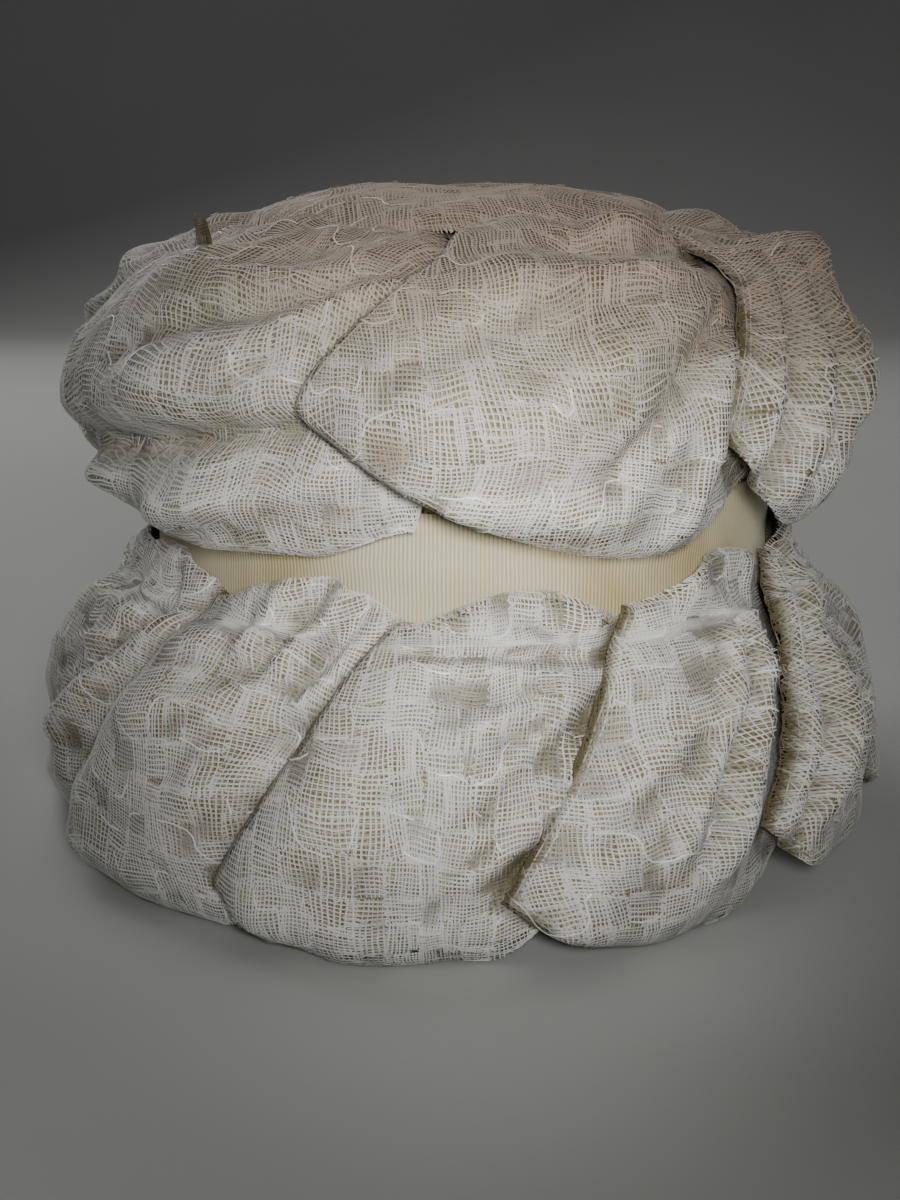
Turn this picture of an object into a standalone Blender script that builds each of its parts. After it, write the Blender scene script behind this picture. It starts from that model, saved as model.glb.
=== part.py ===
"""Lace petal hat: an oval crown and a bell-shaped brim, both shingled with puffed lace petals, and a ribbon band.

Run with: blender --background --python part.py. Metres, +Z up, the front of the hat towards -Y.
"""

import math

import bmesh
import bpy
from mathutils import Vector

# Head opening and cloth
HEAD_HALF_WIDTH = 0.080  # inside the crown's lower wall, across the head
HEAD_HALF_DEPTH = 0.096  # the same, from front to back
CLOTH_WALL = 0.0020  # stiffened cloth of crown and brim
LACE_WALL = 0.0016  # doubled lace of a petal
RIBBON_WALL = 0.0012
SEAT_GAP = 0.0003  # between cloth faces that lie together
LACE_GAP = 0.0006  # between a petal's gathered end and the cloth under it
SHINGLE_GAP = 0.0010  # between one petal and the petal over it

# Heights
CROWN_HEIGHT = 0.153  # flat top of the crown above the surface that the hat rests on
CROWN_FOOT = 0.064  # lower edge of the crown's wall
BAND_HEIGHT = 0.031
BRIM_FOOT = 0.012  # lower edge of the brim's cloth; the petals hang below it

# Swell of crown and brim outside the head opening
CROWN_SWELL = 0.012
BRIM_SWELL = 0.025

# Petals
CROWN_PUFF = 0.0165  # most height of a crown petal above the crown
BRIM_PUFF = 0.0115
CROWN_LAP = 15.0  # degrees of a petal that the next one covers
BRIM_LAP = 9.0
CROWN_RISE = 44.0  # degrees over which a petal rises from its gathered end
BRIM_RISE = 27.0
CROWN_LEAN = 11.0  # degrees that a petal's edge shifts from its tip up to the top
BRIM_LEAN = 22.0
TIP_RADIUS = 0.044  # lace round on the crown's top
TIP_PUFF = 0.0115

# Facets
ROUND_STEPS = 36
PETAL_COLUMNS = 9
PETAL_ROWS = 9

# One row a petal: node, azimuth of its free tip in degrees (0 is the front, + towards +X), levels along the
# tier's profile (0 top, 1 lower edge) of its upper edge, tip, hem and covered end, the shares of its width
# between which the hem lies down, and its puff as a share of the tier's.
CROWN_PETALS = (
    ("crown_petal_1", -20.0, 0.00, 0.62, 1.00, 0.74, 0.50, 0.66, 1.00),
    ("crown_petal_2", 33.0, 0.00, 0.70, 0.97, 0.74, 0.26, 0.56, 0.92),
    ("crown_petal_3", 80.0, 0.00, 0.62, 1.00, 0.82, 0.50, 0.70, 1.06),
    ("crown_petal_4", 128.0, 0.00, 0.60, 1.00, 0.76, 0.45, 0.66, 1.00),
    ("crown_petal_5", 178.0, 0.00, 0.64, 0.97, 0.78, 0.50, 0.70, 0.94),
    ("crown_petal_6", 230.0, 0.00, 0.60, 0.96, 0.80, 0.50, 0.66, 0.90),
    ("crown_petal_7", 282.0, 0.00, 0.64, 1.00, 0.86, 0.50, 0.80, 0.94),
)
BRIM_PETALS = (
    ("brim_petal_1", -31.0, 0.00, 0.85, 1.00, 1.00, 0.45, 0.90, 1.00),
    ("brim_petal_2", 4.0, -0.04, 0.82, 1.00, 0.96, 0.45, 0.80, 1.00),
    ("brim_petal_3", 38.0, -0.09, 0.74, 0.89, 0.87, 0.30, 0.80, 1.12),
    ("brim_petal_4", 72.0, 0.00, 0.84, 1.00, 1.00, 0.45, 0.90, 1.00),
    ("brim_petal_5", 109.0, -0.03, 0.82, 1.00, 0.98, 0.40, 0.80, 0.94),
    ("brim_petal_6", 147.0, 0.00, 0.86, 1.00, 1.00, 0.45, 0.90, 1.04),
    ("brim_petal_7", 186.0, -0.03, 0.82, 1.00, 0.98, 0.40, 0.80, 1.00),
    ("brim_petal_8", 225.0, 0.00, 0.84, 1.00, 1.00, 0.45, 0.90, 0.94),
    ("brim_petal_9", 263.0, -0.02, 0.82, 0.98, 0.96, 0.45, 0.80, 1.00),
    ("brim_petal_10", 298.0, -0.02, 0.84, 1.00, 1.00, 0.45, 0.90, 1.00),
)

# Puff up the profile: level, share of the petal's full puff
CROWN_SWEEP = ((0.0, 0.10), (0.25, 0.22), (0.45, 0.62), (0.66, 1.0), (0.86, 0.90), (1.0, 0.55))
BRIM_SWEEP = ((0.0, 0.22), (0.18, 0.62), (0.42, 1.0), (0.68, 1.0), (0.88, 0.80), (1.0, 0.45))

# Deep creases across a petal, pressed into its puff: node, share of the width and level at the start and at
# the end, share of the puff that is pressed in, and half width in metres
CREASES = (
    ("crown_petal_7", 0.06, 0.82, 0.88, 0.68, 0.50, 0.010),
    ("crown_petal_3", 0.10, 0.80, 0.80, 0.66, 0.40, 0.010),
    ("crown_petal_5", 0.15, 0.60, 0.75, 0.50, 0.30, 0.012),
    ("brim_petal_3", 0.00, 0.30, 0.60, 0.34, 0.45, 0.011),
    ("brim_petal_7", 0.10, 0.52, 0.70, 0.40, 0.30, 0.010),
)

# Where the folds of a petal run together: degrees before its covered end, level, number of folds in a
# half turn round that point, their height, and the distance over which they fade out
CROWN_GATHER = (19.0, 0.42, 5, 0.0026, 0.055)
BRIM_GATHER = (12.0, 0.26, 5, 0.0020, 0.050)

LACE_CREAM = (0.72, 0.68, 0.58)
RIBBON_CREAM = (0.78, 0.72, 0.54)
CLOTH_OLIVE = (0.42, 0.38, 0.26)


def smooth(x):
    """0 below 0, 1 above 1 and an even ease between."""
    x = min(1.0, max(0.0, x))
    return x * x * (3.0 - 2.0 * x)


def between(table, x):
    """The value at x of a table of (x, value) rows, eased from row to row."""
    if x <= table[0][0]:
        return table[0][1]
    for (x0, y0), (x1, y1) in zip(table, table[1:]):
        if x <= x1:
            return y0 + (y1 - y0) * smooth((x - x0) / (x1 - x0))
    return table[-1][1]


def oval(radius, azimuth, height):
    """A point of the hat's oval: radius across the head, azimuth in degrees from the front."""
    angle = math.radians(azimuth)
    deeper = (HEAD_HALF_DEPTH - HEAD_HALF_WIDTH) * min(1.0, radius / HEAD_HALF_WIDTH)
    return (radius * math.sin(angle), -(radius + deeper) * math.cos(angle), height)


def band_outside():
    return CLOTH_WALL + SEAT_GAP + RIBBON_WALL


def crown_line():
    """Outer line of the crown from its axis to its foot: distance outside the head opening, height."""
    top = CROWN_HEIGHT
    band_top = CROWN_FOOT + BAND_HEIGHT + SEAT_GAP
    swell = top - band_top
    return (
        (-HEAD_HALF_WIDTH, top),
        (-0.45 * HEAD_HALF_WIDTH, top),
        (-0.26 * HEAD_HALF_WIDTH, top - 0.04 * swell),
        (-0.08 * HEAD_HALF_WIDTH, top - 0.15 * swell),
        (0.50 * CROWN_SWELL, top - 0.33 * swell),
        (0.94 * CROWN_SWELL, top - 0.54 * swell),
        (0.90 * CROWN_SWELL, top - 0.74 * swell),
        (0.48 * CROWN_SWELL, top - 0.90 * swell),
        (CLOTH_WALL, band_top + SEAT_GAP),
        (CLOTH_WALL, CROWN_FOOT),
    )


def brim_line():
    """Outer line of the brim from its seam at the head opening to its foot."""
    top = CROWN_FOOT - SEAT_GAP
    drop = top - BRIM_FOOT
    return (
        (0.0, top),
        (0.16 * BRIM_SWELL, top - 0.02 * drop),
        (0.40 * BRIM_SWELL, top - 0.18 * drop),
        (0.68 * BRIM_SWELL, top - 0.45 * drop),
        (0.88 * BRIM_SWELL, top - 0.72 * drop),
        (BRIM_SWELL, BRIM_FOOT),
    )


def crown_petal_line():
    """Line that the crown petals lie on, from their inner ends on the top to the hem over the band."""
    top = CROWN_HEIGHT
    swell = top - CROWN_FOOT - BAND_HEIGHT
    return (
        (TIP_RADIUS + 0.002 - HEAD_HALF_WIDTH, top + LACE_GAP),
        (-0.26 * HEAD_HALF_WIDTH, top + LACE_GAP - 0.02 * swell),
        (LACE_GAP - 0.07 * HEAD_HALF_WIDTH, top + LACE_GAP - 0.14 * swell),
        (0.51 * CROWN_SWELL + LACE_GAP, top + LACE_GAP - 0.32 * swell),
        (0.96 * CROWN_SWELL + LACE_GAP, top - 0.54 * swell),
        (0.94 * CROWN_SWELL + LACE_GAP, top - 0.74 * swell),
        (0.85 * CROWN_SWELL, top - 1.16 * swell),
    )


def brim_petal_line():
    """Line that the brim petals lie on, from the ribbon down to the surface that the hat rests on."""
    top = CROWN_FOOT + 0.45 * BAND_HEIGHT
    seam = CROWN_FOOT - SEAT_GAP
    drop = seam - BRIM_FOOT
    outside = band_outside() + LACE_GAP
    return (
        (outside, top),
        (outside, seam + 0.03 * drop),
        (0.42 * BRIM_SWELL + LACE_GAP, seam - 0.14 * drop),
        (0.70 * BRIM_SWELL + LACE_GAP, seam - 0.42 * drop),
        (0.90 * BRIM_SWELL + LACE_GAP, seam - 0.70 * drop),
        (BRIM_SWELL + 2.0 * LACE_GAP, BRIM_FOOT),
        (BRIM_SWELL + LACE_GAP, 0.0),
    )


def on_line(line, level):
    """Point and outward normal at a share of a line's length, which may lie a little above its start."""
    lengths = [math.dist(a, b) for a, b in zip(line, line[1:])]
    left = min(level, 1.0) * sum(lengths)
    last = len(lengths) - 1
    for i, length in enumerate(lengths):
        if left <= length or i == last:
            break
        left -= length
    share = left / lengths[i]
    (x0, z0), (x1, z1) = line[i], line[i + 1]
    ends = []
    for j in (i, i + 1):
        before, after = line[max(j - 1, 0)], line[min(j + 1, len(line) - 1)]
        ends.append((before[1] - after[1], after[0] - before[0]))
    normal = [a + (b - a) * share for a, b in zip(*ends)]
    size = math.hypot(*normal)
    return (x0 + (x1 - x0) * share, z0 + (z1 - z0) * share), (normal[0] / size, normal[1] / size)


class Tier:
    """A ring of petals in which each petal's free edge lies over the gathered end of the one before."""

    def __init__(self, rows, line, puff, lap, rise, lean, sweep, gather):
        self.rows = rows
        self.line = line
        self.length = sum(math.dist(a, b) for a, b in zip(line, line[1:]))
        self.puff = puff
        self.lap = lap
        self.rise = rise
        self.lean = lean
        self.sweep = sweep
        self.gather = gather

    def end_height(self, share, past):
        """Height of a petal at `past` degrees before its covered end."""
        return self.puff * share * math.sin(0.5 * math.pi * min(1.0, max(0.0, past / self.rise))) ** 1.3

    def width(self, index):
        """Degrees from a petal's tip to its covered end."""
        after = self.rows[(index + 1) % len(self.rows)]
        return (after[1] - self.rows[index][1]) % 360.0 + self.lap

    def height(self, index, azimuth, level):
        """Height above the tier's line of petal `index`, at an azimuth from its tip."""
        name, tip, upper, tip_level, hem, end, drop, hold, share = self.rows[index]
        start = azimuth - self.lean * (1.0 - level / tip_level)
        past = self.width(index) - start
        sweep = between(self.sweep, level)
        swell = sweep * self.end_height(share, past) * smooth((start + 2.0) / (1.3 * self.lap))
        swell *= 1.0 - self.pressed(index, start / self.width(index), level)
        share_before = self.rows[index - 1][-1]
        under = sweep * self.end_height(share_before, self.lap - start) + LACE_WALL + SHINGLE_GAP
        cover = under * (1.0 - smooth((start - self.lap) / self.lap))
        return swell + cover + self.folds(level, past)

    def pressed(self, index, across, level):
        """Share of the puff that the petal's creases take away here."""
        found = 0.0
        for name, start, start_level, end, end_level, deep, half_width in CREASES:
            if name != self.rows[index][0]:
                continue
            along = (across - start) / (end - start)
            off = (level - start_level - (end_level - start_level) * min(1.0, max(0.0, along))) * self.length
            ends = smooth(along / 0.2 + 0.5) * smooth((1.0 - along) / 0.2 + 0.5)
            found = max(found, deep * ends * (1.0 - smooth(abs(off) / half_width)))
        return found

    def folds(self, level, past):
        """Folds that spread from the gathered point across the petal."""
        degrees, at_level, count, high, reach = self.gather
        radius = HEAD_HALF_WIDTH + CROWN_SWELL
        across = math.radians(past - degrees) * radius
        down = (level - at_level) * self.length
        away = math.hypot(across, down)
        wave = 0.5 + 0.5 * math.cos(2.0 * count * math.atan2(down, max(across, 1e-4)))
        fade = smooth(away / (0.3 * reach)) * (1.0 - smooth((away - 0.4 * reach) / reach))
        return high * wave * fade * smooth((past - self.lap) / self.lap)

    def place(self, azimuth, level, height):
        (outside, z), normal = on_line(self.line, level)
        return oval(HEAD_HALF_WIDTH + outside + height * normal[0], azimuth, z + height * normal[1])

    def petal(self, index, outline):
        """Sheet of one petal: a grid laid on the tier by the petal's outline and height."""
        name, tip, upper, tip_level, hem, end, drop, hold, share = self.rows[index]
        mesh = bmesh.new()
        bmesh.ops.create_grid(mesh, x_segments=PETAL_COLUMNS, y_segments=PETAL_ROWS, size=0.5)
        for vertex in mesh.verts:
            u, v = vertex.co.x + 0.5, 0.5 - vertex.co.y
            top, bottom = outline(u, upper, tip_level, hem, end, drop, hold)
            level = top + (bottom - top) * v
            azimuth = self.width(index) * u + self.lean * (1.0 - level / tip_level)
            vertex.co = self.place(tip + azimuth, level, self.height(index, azimuth, level))
        return mesh


def hem_level(u, tip_level, hem, end, drop, hold):
    """Level of a petal's lower edge: down from the tip, along the hem and up to the covered end."""
    down = tip_level + (hem - tip_level) * smooth((u + 0.05) / (drop + 0.05))
    return down - (hem - end) * smooth((u - hold) / (1.0 - hold))


def crown_outline(u, upper, tip_level, hem, end, drop, hold):
    """Upper and lower level of a crown petal at a share of its width: a square laid on its corner."""
    return upper + 0.20 * smooth((u - 0.45) / 0.5), hem_level(u, tip_level, hem, end, drop, hold)


def brim_outline(u, upper, tip_level, hem, end, drop, hold):
    """The same for a brim petal, whose corners are square."""
    top = upper + 0.05 * smooth((0.35 - u) / 0.35) + 0.12 * smooth((u - 0.5) / 0.5)
    return top, hem_level(u, tip_level, hem, end, drop, hold)


def material(name, colour, roughness):
    made = bpy.data.materials.new(name)
    made.use_nodes = True
    shader = made.node_tree.nodes["Principled BSDF"]
    shader.inputs["Base Color"].default_value = (*colour, 1.0)
    shader.inputs["Roughness"].default_value = roughness
    shader.inputs["Metallic"].default_value = 0.0
    made.diffuse_color = (*colour, 1.0)
    return made


def add_part(name, mesh, cloth, wall, offset):
    """Object for a sheet that Solidify gives its wall: offset 1 grows outwards, -1 inwards."""
    data = bpy.data.meshes.new(name)
    mesh.to_mesh(data)
    mesh.free()
    data.materials.append(cloth)
    part = bpy.data.objects.new(name, data)
    HAT.objects.link(part)
    solid = part.modifiers.new("wall", "SOLIDIFY")
    solid.thickness = wall
    solid.offset = offset
    return part


def turned_sheet(line):
    """Sheet made by turning a line round Z and fitting it to the oval."""
    mesh = bmesh.new()
    points = [mesh.verts.new((HEAD_HALF_WIDTH + outside, 0.0, height)) for outside, height in line]
    edges = [mesh.edges.new(pair) for pair in zip(points, points[1:])]
    bmesh.ops.spin(
        mesh,
        geom=points + edges,
        axis=(0.0, 0.0, 1.0),
        cent=(0.0, 0.0, 0.0),
        steps=ROUND_STEPS,
        angle=2.0 * math.pi,
        use_merge=True,
    )
    bmesh.ops.remove_doubles(mesh, verts=mesh.verts, dist=1e-6)
    for vertex in mesh.verts:
        radius = math.hypot(vertex.co.x, vertex.co.y)
        azimuth = math.degrees(math.atan2(vertex.co.x, -vertex.co.y))
        vertex.co = oval(radius, azimuth, vertex.co.z)
    bmesh.ops.recalc_face_normals(mesh, faces=mesh.faces)
    if sum(face.normal.dot(face.calc_center_median()) for face in mesh.faces) < 0.0:
        bmesh.ops.reverse_faces(mesh, faces=mesh.faces)
    return mesh


def add_band(ribbon):
    """Grosgrain ribbon round the foot of the crown."""
    inner = CLOTH_WALL + SEAT_GAP
    line = ((inner, CROWN_FOOT + BAND_HEIGHT), (inner, CROWN_FOOT))
    add_part("band", turned_sheet(line), ribbon, RIBBON_WALL, 1.0)


def add_tip(lace):
    """Puffed lace round on the crown's top, inside the ring of petals."""
    low = CROWN_HEIGHT + LACE_GAP
    line = (
        (-HEAD_HALF_WIDTH, low + TIP_PUFF),
        (0.45 * TIP_RADIUS - HEAD_HALF_WIDTH, low + 0.96 * TIP_PUFF),
        (0.75 * TIP_RADIUS - HEAD_HALF_WIDTH, low + 0.76 * TIP_PUFF),
        (0.93 * TIP_RADIUS - HEAD_HALF_WIDTH, low + 0.42 * TIP_PUFF),
        (TIP_RADIUS - HEAD_HALF_WIDTH, low),
    )
    add_part("crown_tip", turned_sheet(line), lace, LACE_WALL, 1.0)


def centre_footprint():
    """Shift the whole hat so that the middle of its footprint stands on the origin."""
    graph = bpy.context.evaluated_depsgraph_get()
    corners = [Vector(corner) for part in HAT.objects for corner in part.evaluated_get(graph).bound_box]
    low = Vector([min(corner[axis] for corner in corners) for axis in range(3)])
    high = Vector([max(corner[axis] for corner in corners) for axis in range(3)])
    for part in HAT.objects:
        part.location = (-0.5 * (low.x + high.x), -0.5 * (low.y + high.y), -low.z)


for old in list(bpy.data.objects):
    bpy.data.objects.remove(old)
HAT = bpy.data.collections.new("lace_hat")
bpy.context.scene.collection.children.link(HAT)

lace_cloth = material("ivory_lace", LACE_CREAM, 0.75)
ribbon_cloth = material("grosgrain_ribbon", RIBBON_CREAM, 0.60)
stiff_cloth = material("stiffened_net", CLOTH_OLIVE, 0.85)

add_part("crown", turned_sheet(crown_line()), stiff_cloth, CLOTH_WALL, -1.0)
add_part("brim", turned_sheet(brim_line()), stiff_cloth, CLOTH_WALL, -1.0)
add_band(ribbon_cloth)
add_tip(lace_cloth)

crown_tier = Tier(
    CROWN_PETALS, crown_petal_line(), CROWN_PUFF, CROWN_LAP, CROWN_RISE, CROWN_LEAN, CROWN_SWEEP, CROWN_GATHER
)
brim_tier = Tier(
    BRIM_PETALS, brim_petal_line(), BRIM_PUFF, BRIM_LAP, BRIM_RISE, BRIM_LEAN, BRIM_SWEEP, BRIM_GATHER
)
for tier, outline in ((crown_tier, crown_outline), (brim_tier, brim_outline)):
    for number, row in enumerate(tier.rows):
        add_part(row[0], tier.petal(number, outline), lace_cloth, LACE_WALL, 1.0)
centre_footprint()
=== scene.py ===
"""Looks of the lace petal hat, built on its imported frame: net foundation, ribbon, lace petals and setting."""

import math
from collections import namedtuple

import bmesh
import bpy
import numpy as np
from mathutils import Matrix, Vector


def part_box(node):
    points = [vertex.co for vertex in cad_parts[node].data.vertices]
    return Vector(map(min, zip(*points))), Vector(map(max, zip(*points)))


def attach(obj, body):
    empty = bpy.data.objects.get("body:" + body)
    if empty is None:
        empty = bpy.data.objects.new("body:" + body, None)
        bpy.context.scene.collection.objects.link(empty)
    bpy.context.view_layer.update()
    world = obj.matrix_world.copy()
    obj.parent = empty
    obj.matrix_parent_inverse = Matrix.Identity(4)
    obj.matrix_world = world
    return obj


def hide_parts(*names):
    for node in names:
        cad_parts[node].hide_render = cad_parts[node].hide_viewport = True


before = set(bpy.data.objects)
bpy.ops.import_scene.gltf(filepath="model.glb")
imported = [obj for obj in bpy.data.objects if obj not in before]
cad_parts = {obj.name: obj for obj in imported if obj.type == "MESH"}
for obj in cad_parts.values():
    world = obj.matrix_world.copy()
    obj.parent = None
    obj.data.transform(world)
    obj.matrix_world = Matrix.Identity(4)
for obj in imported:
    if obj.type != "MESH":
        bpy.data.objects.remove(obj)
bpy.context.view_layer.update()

# Foundation: crown and brim of stiffened cotton net, the frame that ribbon and petals are sewn to. The net is
# blocked wet over a wooden shape and dries stiff and matt, olive-tan with age. It shows inside and behind the lace.
BRIM_LOW, BRIM_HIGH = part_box("brim")
BAND_LOW, BAND_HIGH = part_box("band")
RIBBON_OUTSIDE = 0.0035  # from the head opening to the ribbon's face
MIDDLE_X = 0.5 * (BAND_LOW.x + BAND_HIGH.x)
MIDDLE_Y = 0.5 * (BAND_LOW.y + BAND_HIGH.y)
HEAD_HALF_WIDTH = 0.5 * (BAND_HIGH.x - BAND_LOW.x) - RIBBON_OUTSIDE
HEAD_HALF_DEPTH = 0.5 * (BAND_HIGH.y - BAND_LOW.y) - RIBBON_OUTSIDE
CROWN_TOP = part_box("crown")[1].z
CROWN_FOOT = BAND_LOW.z
BAND_TOP = BAND_HIGH.z
BRIM_TOP = BRIM_HIGH.z
BRIM_FOOT = BRIM_LOW.z
CROWN_RISE = CROWN_TOP - BAND_TOP
BRIM_DROP = BRIM_TOP - BRIM_FOOT
CROWN_SWELL = 0.012  # how far the crown swells past the head opening
BRIM_SWELL = 0.5 * (BRIM_HIGH.x - BRIM_LOW.x) - HEAD_HALF_WIDTH
NET_WALL = 0.0020
NET_HOLE = 0.0017  # from one hole of the net to the next
TURN_STEPS = 96


def oval(radius, azimuth, height):
    """Points of the hat's oval: radius across the hat, azimuth in degrees from the front, and height."""
    angle = np.radians(azimuth)
    deeper = (HEAD_HALF_DEPTH - HEAD_HALF_WIDTH) * np.minimum(1.0, radius / HEAD_HALF_WIDTH)
    x = MIDDLE_X + radius * np.sin(angle)
    y = MIDDLE_Y - (radius + deeper) * np.cos(angle)
    return np.stack(np.broadcast_arrays(x, y, height), axis=-1)


def rounded(line, rounds=3):
    """A line of points with its corners cut, for a rounder profile."""
    line = np.array(line, float)
    for _ in range(rounds):
        pairs = np.stack([0.75 * line[:-1] + 0.25 * line[1:], 0.25 * line[:-1] + 0.75 * line[1:]], 1)
        line = np.concatenate([line[:1], pairs.reshape(-1, line.shape[1])[1:-1], line[-1:]])
    return line


def sheet_mesh(name, points):
    """A quad sheet through a grid of points: rows run down, columns round the hat, faces look outwards."""
    rows, columns = points.shape[:2]
    index = np.arange(rows * columns).reshape(rows, columns)
    quads = np.stack([index[:-1, :-1], index[1:, :-1], index[1:, 1:], index[:-1, 1:]], axis=-1)
    mesh = bpy.data.meshes.new(name)
    mesh.from_pydata(points.reshape(-1, 3), [], quads.reshape(-1, 4))
    mesh.shade_smooth()
    return mesh


def joined_round(mesh):
    """Merges the seam and the pole of a turned sheet."""
    shape = bmesh.new()
    shape.from_mesh(mesh)
    bmesh.ops.remove_doubles(shape, verts=shape.verts, dist=1e-6)
    shape.to_mesh(mesh)
    shape.free()
    mesh.shade_smooth()
    return mesh


def turned(name, line):
    """A sheet turned round the oval from a profile of (outside the head opening, height)."""
    line = rounded(line, 2)
    azimuth = np.linspace(0.0, 360.0, TURN_STEPS + 1)
    points = oval(HEAD_HALF_WIDTH + line[:, :1], azimuth[None, :], line[:, 1:])
    return joined_round(sheet_mesh(name, points))


def add_piece(name, mesh, material):
    """An object for a finished mesh, riding on the hat."""
    piece = bpy.data.objects.new(name, mesh)
    bpy.context.scene.collection.objects.link(piece)
    mesh.materials.clear()
    mesh.materials.append(material)
    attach(piece, "root")
    return piece


def give_wall(piece, wall):
    """Thickens a sheet inwards."""
    solid = piece.modifiers.new("wall", "SOLIDIFY")
    solid.thickness = wall
    solid.offset = -1.0


def linear(code):
    """An sRGB hex colour as linear values."""
    parts = [int(code[i : i + 2], 16) / 255.0 for i in (1, 3, 5)]
    return [c / 12.92 if c <= 0.04045 else ((c + 0.055) / 1.055) ** 2.4 for c in parts] + [1.0]


def add_node(tree, kind, links=(), stops=(), **settings):
    """Adds a node. links is a list of (input, node, output), stops the (value, hex colour) rows of a ramp. A setting
    names a property of the node or one of its inputs, with _ for a space, or i and the input's place where several
    have one name."""
    node = tree.nodes.new(kind)
    for name, value in settings.items():
        if hasattr(node, name):
            setattr(node, name, value)
        else:
            key = int(name[1:]) if name[0] == "i" and name[1:].isdigit() else name.replace("_", " ")
            node.inputs[key].default_value = value
    for into, source, out in links:
        tree.links.new(source.outputs[out], node.inputs[into])
    for _ in stops[2:]:
        node.color_ramp.elements.new(0.5)
    for k, (where, code) in enumerate(stops):
        node.color_ramp.elements[k].position = where
        node.color_ramp.elements[k].color = linear(code)
    return node


def new_material(name, **values):
    """A material, its tree, its shader with constant values set, and the texture coordinates."""
    material = bpy.data.materials.new(name)
    material.use_nodes = True
    shader = material.node_tree.nodes["Principled BSDF"]
    for key, value in values.items():
        shader.inputs[key.replace("_", " ")].default_value = value
    place = add_node(material.node_tree, "ShaderNodeTexCoord")
    return material, material.node_tree, shader, place


# Sized cotton net: matt, blotched where the size soaked in unevenly, with small dark holes between its cords.
sized_net, tree, shader, place = new_material("sized cotton net", Roughness=0.9)
blotch = add_node(tree, "ShaderNodeTexNoise", [("Vector", place, "Object")], Scale=45.0, Detail=4.0)
tone = add_node(tree, "ShaderNodeValToRGB", [("Fac", blotch, "Fac")], ((0.35, "#857a58"), (0.65, "#b5aa84")))
holes = add_node(tree, "ShaderNodeTexVoronoi", [("Vector", place, "Object")], feature="DISTANCE_TO_EDGE",
                 Scale=1.0 / NET_HOLE)
cords = add_node(tree, "ShaderNodeValToRGB", [("Fac", holes, "Distance")], ((0.06, "#ffffff"), (0.22, "#6e6650")))
cloth = add_node(tree, "ShaderNodeMix", [(6, tone, "Color"), (7, cords, "Color")], data_type="RGBA",
                 blend_type="MULTIPLY", i0=1.0)
relief = add_node(tree, "ShaderNodeBump", [("Height", cords, "Color")], Strength=0.6, Distance=0.0004)
tree.links.new(cloth.outputs[2], shader.inputs["Base Color"])
tree.links.new(relief.outputs["Normal"], shader.inputs["Normal"])

# Profiles from the top down: outside the head opening, height
CROWN_PROFILE = (
    (-HEAD_HALF_WIDTH, CROWN_TOP),
    (-0.45 * HEAD_HALF_WIDTH, CROWN_TOP),
    (-0.26 * HEAD_HALF_WIDTH, CROWN_TOP - 0.04 * CROWN_RISE),
    (-0.08 * HEAD_HALF_WIDTH, CROWN_TOP - 0.15 * CROWN_RISE),
    (0.50 * CROWN_SWELL, CROWN_TOP - 0.33 * CROWN_RISE),
    (0.94 * CROWN_SWELL, CROWN_TOP - 0.54 * CROWN_RISE),
    (0.90 * CROWN_SWELL, CROWN_TOP - 0.74 * CROWN_RISE),
    (0.48 * CROWN_SWELL, CROWN_TOP - 0.90 * CROWN_RISE),
    (NET_WALL, BAND_TOP),
    (NET_WALL, CROWN_FOOT),
)
BRIM_PROFILE = (
    (0.0, BRIM_TOP),
    (0.16 * BRIM_SWELL, BRIM_TOP - 0.02 * BRIM_DROP),
    (0.40 * BRIM_SWELL, BRIM_TOP - 0.18 * BRIM_DROP),
    (0.68 * BRIM_SWELL, BRIM_TOP - 0.45 * BRIM_DROP),
    (0.88 * BRIM_SWELL, BRIM_TOP - 0.72 * BRIM_DROP),
    (BRIM_SWELL, BRIM_FOOT),
)
for node, profile in (("crown", CROWN_PROFILE), ("brim", BRIM_PROFILE)):
    name = node + "_foundation"
    net = add_piece(name, turned(name, profile), sized_net)
    give_wall(net, NET_WALL)
    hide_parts(node)


# Band: a length of cream grosgrain ribbon round the foot of the crown, sewn down at its ends. Heavy weft cords
# under a fine warp give it upright ribs. It has slackened into soft level creases and yellowed in places.
RIB_PITCH = 0.00095
RIB_HEIGHT = 0.00028
RIBBON_THICK = 0.0008
RIBBON_ROWS = 9
RIBBON_TURNS = 721  # places that measure the ribbon's way round, every half degree
CREASE_PRESSED, CREASE_RAISED = 0.5, 0.8  # shares of a crease's depth, in it and beside it
RIBBON_LENGTH = math.pi * (HEAD_HALF_WIDTH + HEAD_HALF_DEPTH + 2.0 * RIBBON_OUTSIDE)
# One row a crease: azimuth, height as a share of the ribbon's, run in degrees, slope, half width and depth in metres
RIBBON_CREASES = (
    (-14.0, 0.42, 15.0, -0.0016, 0.0030, 0.0011),
    (6.0, 0.30, 12.0, -0.0012, 0.0026, 0.0009),
    (-36.0, 0.55, 10.0, 0.0014, 0.0028, 0.0008),
    (34.0, 0.48, 12.0, 0.0010, 0.0032, 0.0006),
    (88.0, 0.40, 14.0, -0.0012, 0.0030, 0.0009),
    (150.0, 0.50, 16.0, 0.0012, 0.0030, 0.0009),
    (-120.0, 0.45, 15.0, -0.0014, 0.0030, 0.0009),
)


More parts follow.
